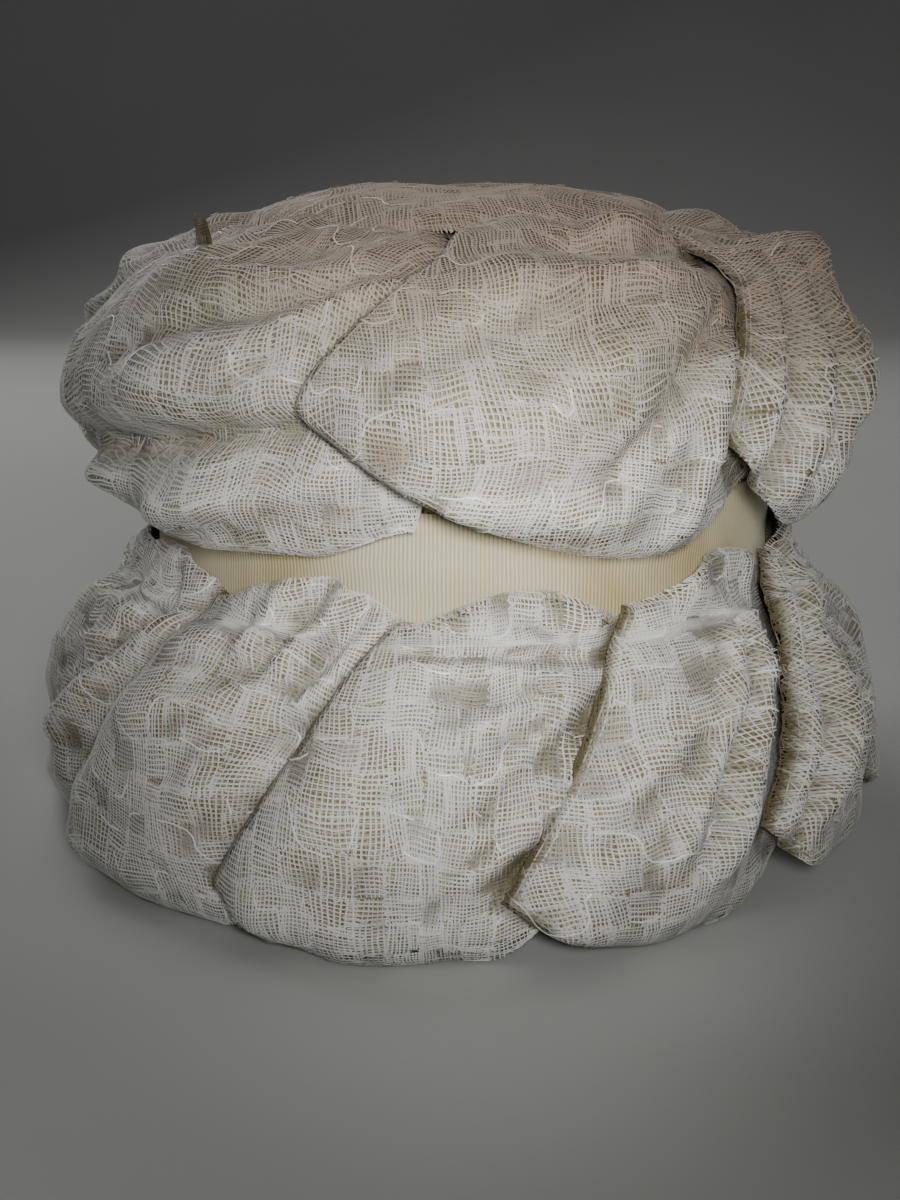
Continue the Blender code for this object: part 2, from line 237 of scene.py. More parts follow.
def plain_mesh(name, source, tree, **values):
    """Runs a Geometry Nodes tree on a mesh with these input values and gives the result as a plain mesh."""
    carrier = bpy.data.objects.new(name, source)
    bpy.context.scene.collection.objects.link(carrier)
    maker = carrier.modifiers.new("maker", "NODES")
    maker.node_group = tree
    for item in tree.interface.items_tree:
        if item.item_type == "SOCKET" and item.in_out == "INPUT" and item.name in values:
            maker[item.identifier] = values[item.name]
    graph = bpy.context.evaluated_depsgraph_get()
    mesh = bpy.data.meshes.new_from_object(carrier.evaluated_get(graph))
    mesh.name = name
    carrier.modifiers.remove(maker)
    bpy.data.objects.remove(carrier)
    return mesh


def new_maker(name, **inputs):
    """A Geometry Nodes tree with a mesh going in and out and named inputs of the given socket kinds."""
    tree = bpy.data.node_groups.new(name, "GeometryNodeTree")
    tree.interface.new_socket("Mesh", in_out="INPUT", socket_type="NodeSocketGeometry")
    for key, kind in inputs.items():
        tree.interface.new_socket(key, in_out="INPUT", socket_type=kind)
    tree.interface.new_socket("Mesh", in_out="OUTPUT", socket_type="NodeSocketGeometry")
    return tree, add_node(tree, "NodeGroupInput")


rib_maker, given = new_maker(
    "ribbon ribs", Count="NodeSocketInt", Width="NodeSocketFloat", Tall="NodeSocketFloat",
    Relief="NodeSocketFloat", Ribbon="NodeSocketMaterial",
)
flat_rib = add_node(rib_maker, "GeometryNodeMeshGrid", [("Size X", given, "Width"), ("Size Y", given, "Tall")],
                    Vertices_X=4, Vertices_Y=RIBBON_ROWS)
spot = add_node(rib_maker, "GeometryNodeInputPosition")
axes = add_node(rib_maker, "ShaderNodeSeparateXYZ", [("Vector", spot, "Position")])
share = add_node(rib_maker, "ShaderNodeMath", [(0, axes, "X"), (1, given, "Width")], operation="DIVIDE")
square = add_node(rib_maker, "ShaderNodeMath", [(0, share, "Value"), (1, share, "Value")], operation="MULTIPLY")
rest = add_node(rib_maker, "ShaderNodeMath", [(0, square, "Value")], operation="MULTIPLY_ADD", i1=-4.0, i2=1.0)
bow = add_node(rib_maker, "ShaderNodeMath", [(0, rest, "Value")], operation="SQRT", use_clamp=True)
high = add_node(rib_maker, "ShaderNodeMath", [(0, bow, "Value"), (1, given, "Relief")], operation="MULTIPLY")
raised = add_node(rib_maker, "ShaderNodeCombineXYZ", [("Z", high, "Value")])
rib = add_node(rib_maker, "GeometryNodeSetPosition", [("Geometry", flat_rib, "Mesh"), ("Offset", raised, "Vector")])
stride = add_node(rib_maker, "ShaderNodeCombineXYZ", [("X", given, "Width")])
row = add_node(rib_maker, "GeometryNodeMeshLine", [("Count", given, "Count"), ("Offset", stride, "Vector")])
ribs = add_node(rib_maker, "GeometryNodeInstanceOnPoints", [("Points", row, "Mesh"),
                                                             ("Instance", rib, "Geometry")])
real = add_node(rib_maker, "GeometryNodeRealizeInstances", [("Geometry", ribs, "Instances")])
woven = add_node(rib_maker, "GeometryNodeMergeByDistance", [("Geometry", real, "Geometry")], Distance=2e-5)
dyed = add_node(rib_maker, "GeometryNodeSetMaterial", [("Geometry", woven, "Geometry"),
                                                       ("Material", given, "Ribbon")])
add_node(rib_maker, "NodeGroupOutput", [("Mesh", dyed, "Geometry")])

# Grosgrain: satin-like cream rayon or silk, soft sheen along the ribs, with painted shade in the grooves between
# them.
grosgrain, tree, shader, place = new_material("woven grosgrain", Roughness=0.55, Sheen_Weight=0.15,
                                              Sheen_Roughness=0.4)
ribbed = add_node(tree, "ShaderNodeAttribute", attribute_name="groove")
age = add_node(tree, "ShaderNodeTexNoise", [("Vector", place, "Object")], Scale=28.0, Detail=3.0)
cream = add_node(tree, "ShaderNodeValToRGB", [("Fac", age, "Fac")],
                 ((0.30, "#e2dcc2"), (0.52, "#dcd3b0"), (0.70, "#c8b88a")))
# Painted shade in the grooves between the ribs
groove = add_node(tree, "ShaderNodeValToRGB", [("Fac", ribbed, "Fac")], ((0.0, "#d2c6a2"), (0.75, "#ffffff")))
cream_with_groove_shade = add_node(tree, "ShaderNodeMix", [(6, cream, "Color"), (7, groove, "Color")], data_type="RGBA",
                      blend_type="MULTIPLY", i0=1.0)
tree.links.new(cream_with_groove_shade.outputs[2], shader.inputs["Base Color"])

rib_count = round(RIBBON_LENGTH / RIB_PITCH)
ribbon_mesh = plain_mesh("ribbon_band", bpy.data.meshes.new("ribbon"), rib_maker, Count=rib_count,
                         Width=RIB_PITCH, Tall=BAND_TOP - CROWN_FOOT, Relief=RIB_HEIGHT, Ribbon=grosgrain)
flat = np.zeros(len(ribbon_mesh.vertices) * 3)
ribbon_mesh.vertices.foreach_get("co", flat)
along, up, relief = flat.reshape(-1, 3).T
turn = np.linspace(0.0, 360.0, RIBBON_TURNS)
circuit = oval(HEAD_HALF_WIDTH + RIBBON_OUTSIDE, turn + 180.0, 0.0)
steps = np.linalg.norm(np.diff(circuit, axis=0), axis=1)
walked = np.concatenate([[0.0], np.cumsum(steps)]) / steps.sum()
azimuth = np.interp((along + 0.5 * RIB_PITCH) / (rib_count * RIB_PITCH), walked, turn) + 180.0
height = up + 0.5 * (BAND_TOP + CROWN_FOOT)
outside = RIBBON_OUTSIDE - RIB_HEIGHT + relief
for at, level, run, slope, half_width, deep in RIBBON_CREASES:
    away = (azimuth - at + 180.0) % 360.0 - 180.0
    line = CROWN_FOOT + level * (BAND_TOP - CROWN_FOOT) + slope * away / run
    fold = np.exp(-((height - line) / half_width) ** 2) * np.exp(-((away / run) ** 2))
    side = np.exp(-((height - line - 2.0 * half_width) / half_width) ** 2) * np.exp(-((away / run) ** 2))
    outside = outside + deep * (CREASE_RAISED * side - CREASE_PRESSED * fold)
placed = oval(HEAD_HALF_WIDTH + outside, azimuth, height)
ribbon_mesh.vertices.foreach_set("co", placed.ravel())
grooves = ribbon_mesh.attributes.new("groove", "FLOAT", "POINT")
grooves.data.foreach_set("value", relief / RIB_HEIGHT)
joined_round(ribbon_mesh)
ribbon = add_piece("ribbon_band", ribbon_mesh, grosgrain)
give_wall(ribbon, RIBBON_THICK)
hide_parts("band")


# Lace petals: squares of machine lace laid round crown and brim like shingles, each puffed out, with its gathered
# end stitched down under the free edge of the next. The lace is cotton, in small patches of bars that run across
# or up and turn back at the patch's edge, crossed by finer threads, with a shiny rayon thread that outlines them.
LACE_WALL = 0.0016
LACE_GAP = 0.0006  # from the foundation to the lace
SHINGLE_GAP = 0.0010  # from one petal to the next over it
TIP_RADIUS = 0.044  # where the upper petals end, under the round of lace on the top

# One row a petal: node, azimuth of its free tip in degrees, levels (0 top, 1 lower edge of its ring) of upper
# edge, tip, hem and covered end, the shares of its width by which the hem is down and from which it rises to that
# end, share of the full puff
Petal = namedtuple("Petal", "node tip upper tip_level hem end drop hold share")
CROWN_PETALS = (
    ("crown_petal_1", -21.0, 0.00, 0.66, 1.00, 0.84, 0.70, 0.78, 1.00),
    ("crown_petal_2", 33.0, 0.00, 0.70, 0.97, 0.74, 0.32, 0.56, 0.92),
    ("crown_petal_3", 80.0, 0.00, 0.62, 1.00, 0.82, 0.62, 0.72, 1.06),
    ("crown_petal_4", 128.0, 0.00, 0.60, 1.00, 0.76, 0.60, 0.70, 1.00),
    ("crown_petal_5", 178.0, 0.00, 0.64, 0.97, 0.78, 0.62, 0.72, 0.94),
    ("crown_petal_6", 230.0, 0.00, 0.60, 0.98, 0.94, 0.62, 0.80, 0.96),
    ("crown_petal_7", 282.0, 0.00, 0.64, 1.00, 0.93, 0.62, 0.82, 0.94),
)
BRIM_PETALS = (
    ("brim_petal_1", -31.0, 0.00, 0.85, 1.00, 1.00, 0.45, 0.90, 1.00),
    ("brim_petal_2", 4.0, -0.04, 0.82, 1.00, 0.96, 0.60, 0.80, 1.00),
    ("brim_petal_3", 38.0, -0.09, 0.74, 0.89, 0.87, 0.30, 0.80, 1.12),
    ("brim_petal_4", 72.0, 0.00, 0.84, 1.00, 1.00, 0.45, 0.90, 1.00),
    ("brim_petal_5", 109.0, -0.03, 0.82, 1.00, 0.98, 0.40, 0.80, 0.94),
    ("brim_petal_6", 147.0, 0.00, 0.86, 1.00, 1.00, 0.45, 0.90, 1.04),
    ("brim_petal_7", 186.0, -0.03, 0.82, 1.00, 0.98, 0.40, 0.80, 1.00),
    ("brim_petal_8", 225.0, 0.00, 0.84, 1.00, 1.00, 0.45, 0.90, 0.94),
    ("brim_petal_9", 263.0, -0.02, 0.82, 0.98, 0.96, 0.45, 0.80, 1.00),
    ("brim_petal_10", 298.0, -0.02, 0.84, 1.00, 1.00, 0.45, 0.90, 1.00),
)

# Level and the share of the full puff that a ring has there
CROWN_SWEEP = ((0.0, 0.10), (0.25, 0.22), (0.45, 0.62), (0.66, 1.0), (0.86, 0.90), (1.0, 0.55))
BRIM_SWEEP = ((0.0, 0.22), (0.18, 0.62), (0.42, 1.0), (0.68, 1.0), (0.88, 0.80), (1.0, 0.45))

# The one deep crease pressed into some petals: share of the width and level at start and end, share of the puff
# pressed in, half width in metres
CREASES = {
    "crown_petal_7": (0.06, 0.82, 0.88, 0.68, 0.50, 0.010),
    "crown_petal_3": (0.10, 0.80, 0.80, 0.66, 0.40, 0.010),
    "crown_petal_5": (0.15, 0.60, 0.75, 0.50, 0.30, 0.012),
    "brim_petal_3": (0.00, 0.30, 0.60, 0.34, 0.45, 0.011),
    "brim_petal_7": (0.10, 0.52, 0.70, 0.40, 0.30, 0.010),
}

# Lesser folds and rolls of each petal: share of the width and level at start and end, half width and height in metres
FOLDS = {
    "crown_petal_1": (
        (0.72, 0.50, 0.54, 0.80, 0.0070, -0.0049), (0.74, 0.54, 0.74, 0.96, 0.0070, 0.0049),
        (0.66, 0.46, 0.40, 0.62, 0.0090, 0.0030), (0.62, 0.86, 0.30, 0.84, 0.0070, 0.0024),
        (0.26, 0.26, 0.76, 0.28, 0.0060, -0.0035), (0.40, 0.19, 0.84, 0.20, 0.0050, 0.0035),
        (0.14, 0.62, 0.36, 0.44, 0.0070, -0.0022),
    ),
    "crown_petal_7": (
        (0.30, 0.79, 0.90, 0.67, 0.0050, -0.0054), (0.52, 0.92, 0.86, 0.80, 0.0080, 0.0041),
        (0.66, 0.40, 0.36, 0.60, 0.0060, -0.0035), (0.78, 0.36, 0.60, 0.60, 0.0060, 0.0030),
        (0.86, 0.48, 0.76, 0.58, 0.0040, -0.0035),
    ),
    "crown_petal_2": (
        (0.07, 0.32, 0.08, 0.90, 0.0050, 0.0046), (0.14, 0.34, 0.15, 0.84, 0.0034, -0.0041),
        (0.21, 0.30, 0.21, 0.86, 0.0046, 0.0046), (0.28, 0.34, 0.27, 0.84, 0.0034, -0.0041),
        (0.35, 0.30, 0.33, 0.86, 0.0050, 0.0035),
    ),
    "crown_petal_3": (
        (0.30, 0.36, 0.24, 0.90, 0.0060, 0.0041), (0.42, 0.40, 0.40, 0.86, 0.0050, -0.0041),
        (0.78, 0.46, 0.56, 0.70, 0.0060, -0.0038),
    ),
    "crown_petal_4": (
        (0.70, 0.46, 0.44, 0.74, 0.0070, -0.0043), (0.74, 0.54, 0.66, 0.94, 0.0070, 0.0043),
        (0.22, 0.36, 0.34, 0.70, 0.0070, -0.0030),
    ),
    "crown_petal_5": (
        (0.72, 0.48, 0.52, 0.82, 0.0070, 0.0043), (0.66, 0.44, 0.30, 0.56, 0.0060, -0.0041),
    ),
    "crown_petal_6": (
        (0.70, 0.50, 0.46, 0.66, 0.0060, -0.0041), (0.72, 0.56, 0.64, 0.90, 0.0070, 0.0043),
        (0.24, 0.40, 0.28, 0.84, 0.0060, -0.0032),
    ),
    "brim_petal_10": (
        (0.34, -0.02, 0.40, 0.26, 0.0050, 0.0041), (0.46, 0.00, 0.48, 0.28, 0.0032, -0.0041),
        (0.56, 0.00, 0.57, 0.30, 0.0046, 0.0046), (0.66, 0.02, 0.65, 0.34, 0.0032, -0.0041),
        (0.76, 0.06, 0.72, 0.40, 0.0046, 0.0038), (0.80, 0.36, 0.46, 0.62, 0.0070, -0.0032),
    ),
    "brim_petal_1": (
        (0.84, 0.30, 0.56, 0.64, 0.0050, -0.0041), (0.88, 0.40, 0.66, 0.82, 0.0060, 0.0041),
        (0.82, 0.26, 0.44, 0.40, 0.0070, 0.0030), (0.14, 0.21, 0.66, 0.20, 0.0036, -0.0035),
        (0.60, 0.84, 0.84, 0.70, 0.0050, -0.0030),
    ),
    "brim_petal_2": (
        (0.44, 0.18, 0.40, 0.76, 0.0050, 0.0043), (0.52, 0.22, 0.50, 0.74, 0.0034, -0.0046),
        (0.60, 0.18, 0.58, 0.80, 0.0046, 0.0046), (0.68, 0.22, 0.67, 0.74, 0.0034, -0.0041),
        (0.36, 0.46, 0.16, 0.70, 0.0060, -0.0024),
    ),
    "brim_petal_3": (
        (0.04, 0.06, 0.05, 0.78, 0.0046, 0.0049), (0.10, 0.10, 0.12, 0.74, 0.0034, -0.0046),
        (0.17, 0.06, 0.18, 0.76, 0.0046, 0.0046), (0.60, 0.36, 0.40, 0.70, 0.0060, -0.0035),
    ),
    "brim_petal_4": (
        (0.74, 0.30, 0.46, 0.60, 0.0055, -0.0038), (0.78, 0.38, 0.60, 0.84, 0.0060, 0.0038),
    ),
    "brim_petal_5": (
        (0.70, 0.28, 0.50, 0.70, 0.0055, 0.0041), (0.62, 0.28, 0.38, 0.60, 0.0045, -0.0038),
    ),
    "brim_petal_6": (
        (0.76, 0.30, 0.52, 0.64, 0.0050, -0.0038), (0.20, 0.20, 0.62, 0.22, 0.0036, -0.0030),
    ),
    "brim_petal_7": (
        (0.74, 0.32, 0.56, 0.76, 0.0060, 0.0041),
    ),
    "brim_petal_8": (
        (0.74, 0.28, 0.48, 0.62, 0.0055, -0.0038), (0.80, 0.40, 0.66, 0.82, 0.0060, 0.0038),
    ),
    "brim_petal_9": (
        (0.72, 0.20, 0.60, 0.70, 0.0050, 0.0041), (0.62, 0.20, 0.50, 0.66, 0.0036, -0.0038),
    ),
}

# Where the folds of a petal run together: degrees before its covered end and level, then one row for each set of
# folds: number in a half turn, height, distance over which they fade out
CROWN_GATHER = (19.0, 0.42, ((5, 0.0026, 0.055), (11, 0.0011, 0.040)))
BRIM_GATHER = (12.0, 0.26, ((5, 0.0020, 0.050), (11, 0.0009, 0.036)))
GATHER_START, GATHER_FULL = 0.3, 0.4  # shares of that distance at which they are full and begin to fade

# Shares of a petal's width. Its upper edge comes down until FALLEN and climbs from RISING on. The corner of its
# covered end is cut from CUT on.
FALLEN = 0.35
RISING, RISE_RUN = 0.45, 0.5
CUT = 0.86
CURVE = 1.5  # power of the curves at its tip and its cut corner
BOW_SHARE = 0.6  # share of the height above the tip over which a leading edge bows
PUFF_LEAD, PUFF_RUN = 2.0, 1.3  # the puff starts this many degrees before that edge and grows over so many laps
FOLD_END = 0.2  # share of a fold's length over which each of its ends fades
DEGREE = math.radians(1.0) * HEAD_HALF_WIDTH  # metres of one degree round the head opening
ROLL = 0.0036  # how far in from a free edge the lace turns down
ROLL_DROP = 0.0026
HEM_ROLL = 0.9  # the way in from a hem counts this much, so its roll is a little wider
CRUMPLE, CRUMPLE_WAVE = 0.0012, 0.024  # height and length of the crumples
CRUMPLE_WAVES = (1.4, 1.0, 0.75, 0.5)  # shares of both, a wave each
CRUMPLE_LEAD = 3.0  # degrees before the leading edge at which the crumples start
COVERED = 0.007  # threads further than this under the next petal are left out
TURNED = 0.0022  # width of the turned edge
GROOVE, GROOVE_DEEP = 0.006, 0.0016  # the stitches press the lace down beside the next petal's edge
SEAM_SHADOW_WIDTH = 0.0035  # width of the painted shadow beside that edge
HOLLOW = 0.0015  # depth of a hollow at which the painted shade is full
CREST_HIGHLIGHT, HOLLOW_SHADE = -0.35, 0.30  # painted shading on a crest, where it is a painted highlight, and in a hollow, where it is painted shade
SEAM_SHADOW, EDGE_SHADE = 0.6, 0.9  # painted shadow beside the next petal's edge and painted shade on the turned edge


def ease(x):
    """0 below 0, 1 above 1 and an even ease between."""
    x = np.clip(x, 0.0, 1.0)
    return x * x * (3.0 - 2.0 * x)


def eased(table, x):
    """The value at x of a table of (x, value) rows, eased from row to row."""
    places, values = np.array(table).T
    k = np.clip(np.searchsorted(places, x, side="right") - 1, 0, len(places) - 2)
    return values[k] + (values[k + 1] - values[k]) * ease((x - places[k]) / (places[k + 1] - places[k]))


class PetalRing:
    """A ring of petals, each with its free edge over the gathered end of the one before. Lengths are in metres and
    angles in degrees. puff is the greatest height, lap how far a petal lies over the one before, rise the run over
    which a covered end climbs, lean and bow how far the leading edge slants and bows, sweep the puff by level and
    gather its folds. top_rise, top_fall and corner are the levels by which the upper edge climbs to the covered
    end, comes down from the leading edge, and by which the covered end's corner is cut."""

    def __init__(self, rows, line, puff, lap, rise, lean, bow, sweep, gather, top_rise, top_fall, corner):
        self.rows = [Petal(*row) for row in rows]
        self.puff, self.lap, self.rise, self.lean, self.bow = puff, lap, rise, lean, bow
        self.sweep, self.gather = sweep, gather
        self.top_rise, self.top_fall, self.corner = top_rise, top_fall, corner
        line = rounded(line)
        first, last = line[0] - line[1], line[-1] - line[-2]
        above, below = 0.03, 0.01
        line = np.concatenate([
            [line[0] + above * first / np.linalg.norm(first)], line, [line[-1] + below * last / np.linalg.norm(last)],
        ])
        steps = np.linalg.norm(np.diff(line, axis=0), axis=1)
        self.along = np.concatenate([[0.0], np.cumsum(steps)]) - above
        self.length = self.along[-1] - below
        run = np.gradient(line, self.along, axis=0)
        normal = np.stack([-run[:, 1], run[:, 0]], -1)
        self.line, self.normal = line, normal / np.linalg.norm(normal, axis=1)[:, None]

    def on_line(self, level):
        """Distance outside the head opening, height and outward normal at a level."""
        at = level * self.length
        outside, z = (np.interp(at, self.along, self.line[:, k]) for k in (0, 1))
        across, up = (np.interp(at, self.along, self.normal[:, k]) for k in (0, 1))
        size = np.hypot(across, up)
        return outside, z, across / size, up / size

    def slant(self, index, level):
        """Degrees that a petal's leading edge lies past its tip at a level."""
        above = 1.0 - level / self.rows[index].tip_level
        return self.lean * above + self.bow * ease(above / BOW_SHARE)

    def width(self, index):
        """Degrees from a petal's tip to its covered end."""
        return (self.rows[(index + 1) % len(self.rows)].tip - self.rows[index].tip) % 360.0 + self.lap

    def share_at(self, index, azimuth, level):
        """Share of a petal's width at an azimuth from its tip and a level."""
        return (azimuth - self.slant(index, level)) / self.width(index)

    def outline(self, index, u):
        """Upper and lower level of a petal at a share of its width."""
        row = self.rows[index]
        top = row.upper + self.top_fall * ease((FALLEN - u) / FALLEN) + self.top_rise * ease((u - RISING) / RISE_RUN)
        down = row.tip_level + (row.hem - row.tip_level) * (1.0 - np.clip(1.0 - u / row.drop, 0.0, 1.0) ** CURVE)
        down = down - (row.hem - row.end) * ease((u - row.hold) / (1.0 - row.hold))
        return top, down - self.corner * ease((u - CUT) / (1.0 - CUT)) ** CURVE

    def end_height(self, share, past):
        """Height of a petal at some degrees before its covered end."""
        return self.puff * share * np.sin(0.5 * math.pi * np.clip(past / self.rise, 0.0, 1.0)) ** 1.3

    def height(self, index, azimuth, level):
        """Height of a petal above the ring's line, at an azimuth from its tip."""
        row, width = self.rows[index], self.width(index)
        start = azimuth - self.slant(index, level)
        past = width - start
        sweep = eased(self.sweep, level)
        swell = sweep * self.end_height(row.share, past) * ease((start + PUFF_LEAD) / (PUFF_RUN * self.lap))
        pressed = 0.0
        if row.node in CREASES:
            *line, deep, half_width = CREASES[row.node]
            pressed = deep * self.near(width, start, level, line, half_width)
        under = sweep * self.end_height(self.rows[index - 1].share, self.lap - start) + LACE_WALL + SHINGLE_GAP
        raised = swell * (1.0 - pressed) + under * (1.0 - ease((start - self.lap) / self.lap))
        for *line, half_width, high in FOLDS[row.node]:
            raised = raised + high * self.near(width, start, level, line, half_width)
        beside = 1.0 - ease(-self.under_next(index, azimuth, level) / GROOVE)
        return raised + self.gathers(level, past) + self.crumple(index, start, level, past) - GROOVE_DEEP * beside

    def painted_shading(self, index, azimuth, level):
        """Painted shade in hollows and beside the next petal's edge, and a painted highlight on crests, as tone."""
        turn, step = 1.9, 0.0035 / self.length  # about the same way round the hat and down it
        here = self.height(index, azimuth, level)
        around = sum(self.height(index, azimuth + a * turn, level + b * step)
                     for a, b in ((1, 0), (-1, 0), (0, 1), (0, -1))) / 4.0
        beside = 1.0 - ease(-self.under_next(index, azimuth, level) / SEAM_SHADOW_WIDTH)
        return (np.clip((around - here) / HOLLOW, CREST_HIGHLIGHT, HOLLOW_SHADE) + SEAM_SHADOW * beside
                + EDGE_SHADE * self.turned_edge(index, azimuth, level))

    def turned_edge(self, index, azimuth, level):
        """1 on the turned edge from a petal's top round its tip, where shade is painted on the doubled lace."""
        drop, width = self.rows[index].drop, self.width(index)
        u = self.share_at(index, azimuth, level)
        bottom = self.outline(index, np.clip(u, 0.0, 1.0))[1]
        in_from_hem = (bottom - level) * self.length + 4.0 * TURNED * ease((u - 0.4 * drop) / (0.6 * drop))
        inward = np.minimum(u * math.radians(width) * HEAD_HALF_WIDTH, in_from_hem)
        return 1.0 - ease(inward / TURNED)

    def near(self, width, start, level, line, half_width):
        """1 on the line of a fold, easing to 0 at its half width and ends."""
        u0, level0, u1, level1 = line
        wide = math.radians(width) * (HEAD_HALF_WIDTH + CROWN_SWELL)
        run = np.array([(u1 - u0) * wide, (level1 - level0) * self.length])
        long = np.hypot(*run)
        x, y = (start / width - u0) * wide, (level - level0) * self.length
        along = (x * run[0] + y * run[1]) / long**2
        off = np.abs(x * run[1] - y * run[0]) / long
        ends = ease(along / FOLD_END + 0.5) * ease((1.0 - along) / FOLD_END + 0.5)
        return ends * (1.0 - ease(off / half_width))

    def gathers(self, level, past):
        """Folds that spread from the gathered point across the petal."""
        degrees, at_level, sets = self.gather
        across = np.radians(past - degrees) * (HEAD_HALF_WIDTH + CROWN_SWELL)
        down = (level - at_level) * self.length
        away = np.hypot(across, down)
        turn = np.arctan2(down, np.maximum(across, 1e-4))
        found = 0.0
        for count, high, reach in sets:
            wave = 0.5 + 0.5 * np.cos(2.0 * count * turn + 0.8 * np.sin(3.0 * turn))
            fade = ease(away / (GATHER_START * reach)) * (1.0 - ease((away - GATHER_FULL * reach) / reach))
            found = found + high * wave * fade
        return found * ease((past - self.lap) / self.lap)

    def crumple(self, index, start, level, past):
        """Low, wide unevenness of old lace."""
        luck = np.random.default_rng(index + 40 * len(self.rows))
        x = np.radians(start) * HEAD_HALF_WIDTH
        y = level * self.length
        found = 0.0
        for wave in CRUMPLE_WAVES:
            angle, phase = luck.uniform(0.0, 2.0 * math.pi, 2)
            turned_x = x * math.cos(angle) + y * math.sin(angle)
            found = found + wave * np.sin(2.0 * math.pi * turned_x / (CRUMPLE_WAVE * wave) + phase)
        ends, starts = ease((past - 0.5 * self.lap) / self.lap), ease((start + CRUMPLE_LEAD) / self.lap)
        return CRUMPLE * found / 2.0 * ends * starts

    def place(self, index, azimuth, level, lift):
        """Points on a petal at azimuths from its tip and levels, lifted off its cloth."""
        u = self.share_at(index, azimuth, level)
        top, bottom = self.outline(index, u)
        edge = np.minimum(u * self.width(index) * DEGREE, (bottom - level) * self.length * HEM_ROLL)
        if self.top_fall:
            edge = np.minimum(edge, (level - top) * self.length)
        roll = np.clip(1.0 - np.maximum(edge, 0.0) / ROLL, 0.0, 1.0)
        height = self.height(index, azimuth, level) - ROLL_DROP * (1.0 - np.sqrt(1.0 - roll**2))
        outside, z, across, up = self.on_line(level)
        height = np.maximum(height, 0.0) + lift
        return oval(HEAD_HALF_WIDTH + outside + height * across, self.rows[index].tip + azimuth, z + height * up)

    def outward(self, index, azimuth, level):
        """Which way the cloth faces at azimuths from a petal's tip and levels."""
        turn, step = 0.4, 0.004
        across = self.place(index, azimuth + turn, level, 0.0) - self.place(index, azimuth - turn, level, 0.0)
        down = self.place(index, azimuth, level + step, 0.0) - self.place(index, azimuth, level - step, 0.0)
        normal = np.cross(down, across)
        return normal / np.linalg.norm(normal, axis=-1)[..., None]

    def under_next(self, index, azimuth, level):
        """How far inside the next petal's free edges a spot lies, in metres, negative beside it."""
        after = (index + 1) % len(self.rows)
        u = self.share_at(after, azimuth - (self.rows[after].tip - self.rows[index].tip) % 360.0, level)
        top, bottom = self.outline(after, u)
        width = math.radians(self.width(after))
        inside = np.minimum(u * width * HEAD_HALF_WIDTH, (bottom - level) * self.length)
        return np.minimum(inside, (level - top) * self.length) if self.top_fall else inside

    def cloth_radius(self, level):
        """Radius round the hat at which a petal's cloth keeps its flat width, at a level."""
        return HEAD_HALF_WIDTH + 0.5 * (HEAD_HALF_DEPTH - HEAD_HALF_WIDTH) + self.on_line(level)[0]

    def from_cloth(self, index, s, t):
        """Azimuth from the tip and level of a spot of the flat cloth, held to the petal, and whether it is on it."""
        width, level = self.width(index), t / self.length
        u = self.share_at(index, 0.5 * width + np.degrees(s / self.cloth_radius(level)), level)
        held = np.clip(u, 0.0, 1.0)
        top, bottom = self.outline(index, held)
        inside = (u >= 0.0) & (u <= 1.0) & (level >= top) & (level <= bottom)
        level = np.clip(level, top, bottom)
        return held * width + self.slant(index, level), level, inside


crown_ring = PetalRing(CROWN_PETALS, (
    (TIP_RADIUS + 0.002 - HEAD_HALF_WIDTH, CROWN_TOP + LACE_GAP),
    (-0.26 * HEAD_HALF_WIDTH, CROWN_TOP + LACE_GAP - 0.02 * CROWN_RISE),
    (LACE_GAP - 0.07 * HEAD_HALF_WIDTH, CROWN_TOP + LACE_GAP - 0.14 * CROWN_RISE),
    (0.51 * CROWN_SWELL + LACE_GAP, CROWN_TOP + LACE_GAP - 0.32 * CROWN_RISE),
    (0.96 * CROWN_SWELL + LACE_GAP, CROWN_TOP - 0.54 * CROWN_RISE),
    (0.94 * CROWN_SWELL + LACE_GAP, CROWN_TOP - 0.74 * CROWN_RISE),
    (0.85 * CROWN_SWELL, CROWN_TOP - 1.16 * CROWN_RISE),
), puff=0.0165, lap=19.0, rise=44.0, lean=11.0, bow=10.0, sweep=CROWN_SWEEP, gather=CROWN_GATHER, top_rise=0.05,
    top_fall=0.0, corner=0.0)
against = RIBBON_OUTSIDE + LACE_GAP
brim_ring = PetalRing(BRIM_PETALS, (
    (against, CROWN_FOOT + 0.45 * (BAND_TOP - CROWN_FOOT)),
    (against, BRIM_TOP + 0.03 * BRIM_DROP),
    (0.42 * BRIM_SWELL + LACE_GAP, BRIM_TOP - 0.14 * BRIM_DROP),
    (0.70 * BRIM_SWELL + LACE_GAP, BRIM_TOP - 0.42 * BRIM_DROP),
    (0.90 * BRIM_SWELL + LACE_GAP, BRIM_TOP - 0.70 * BRIM_DROP),
    (BRIM_SWELL + 2.0 * LACE_GAP, BRIM_FOOT),
    (BRIM_SWELL + LACE_GAP, 0.001),
), puff=0.0115, lap=9.0, rise=27.0, lean=22.0, bow=0.0, sweep=BRIM_SWEEP, gather=BRIM_GATHER, top_rise=0.12,
    top_fall=0.10, corner=0.16)

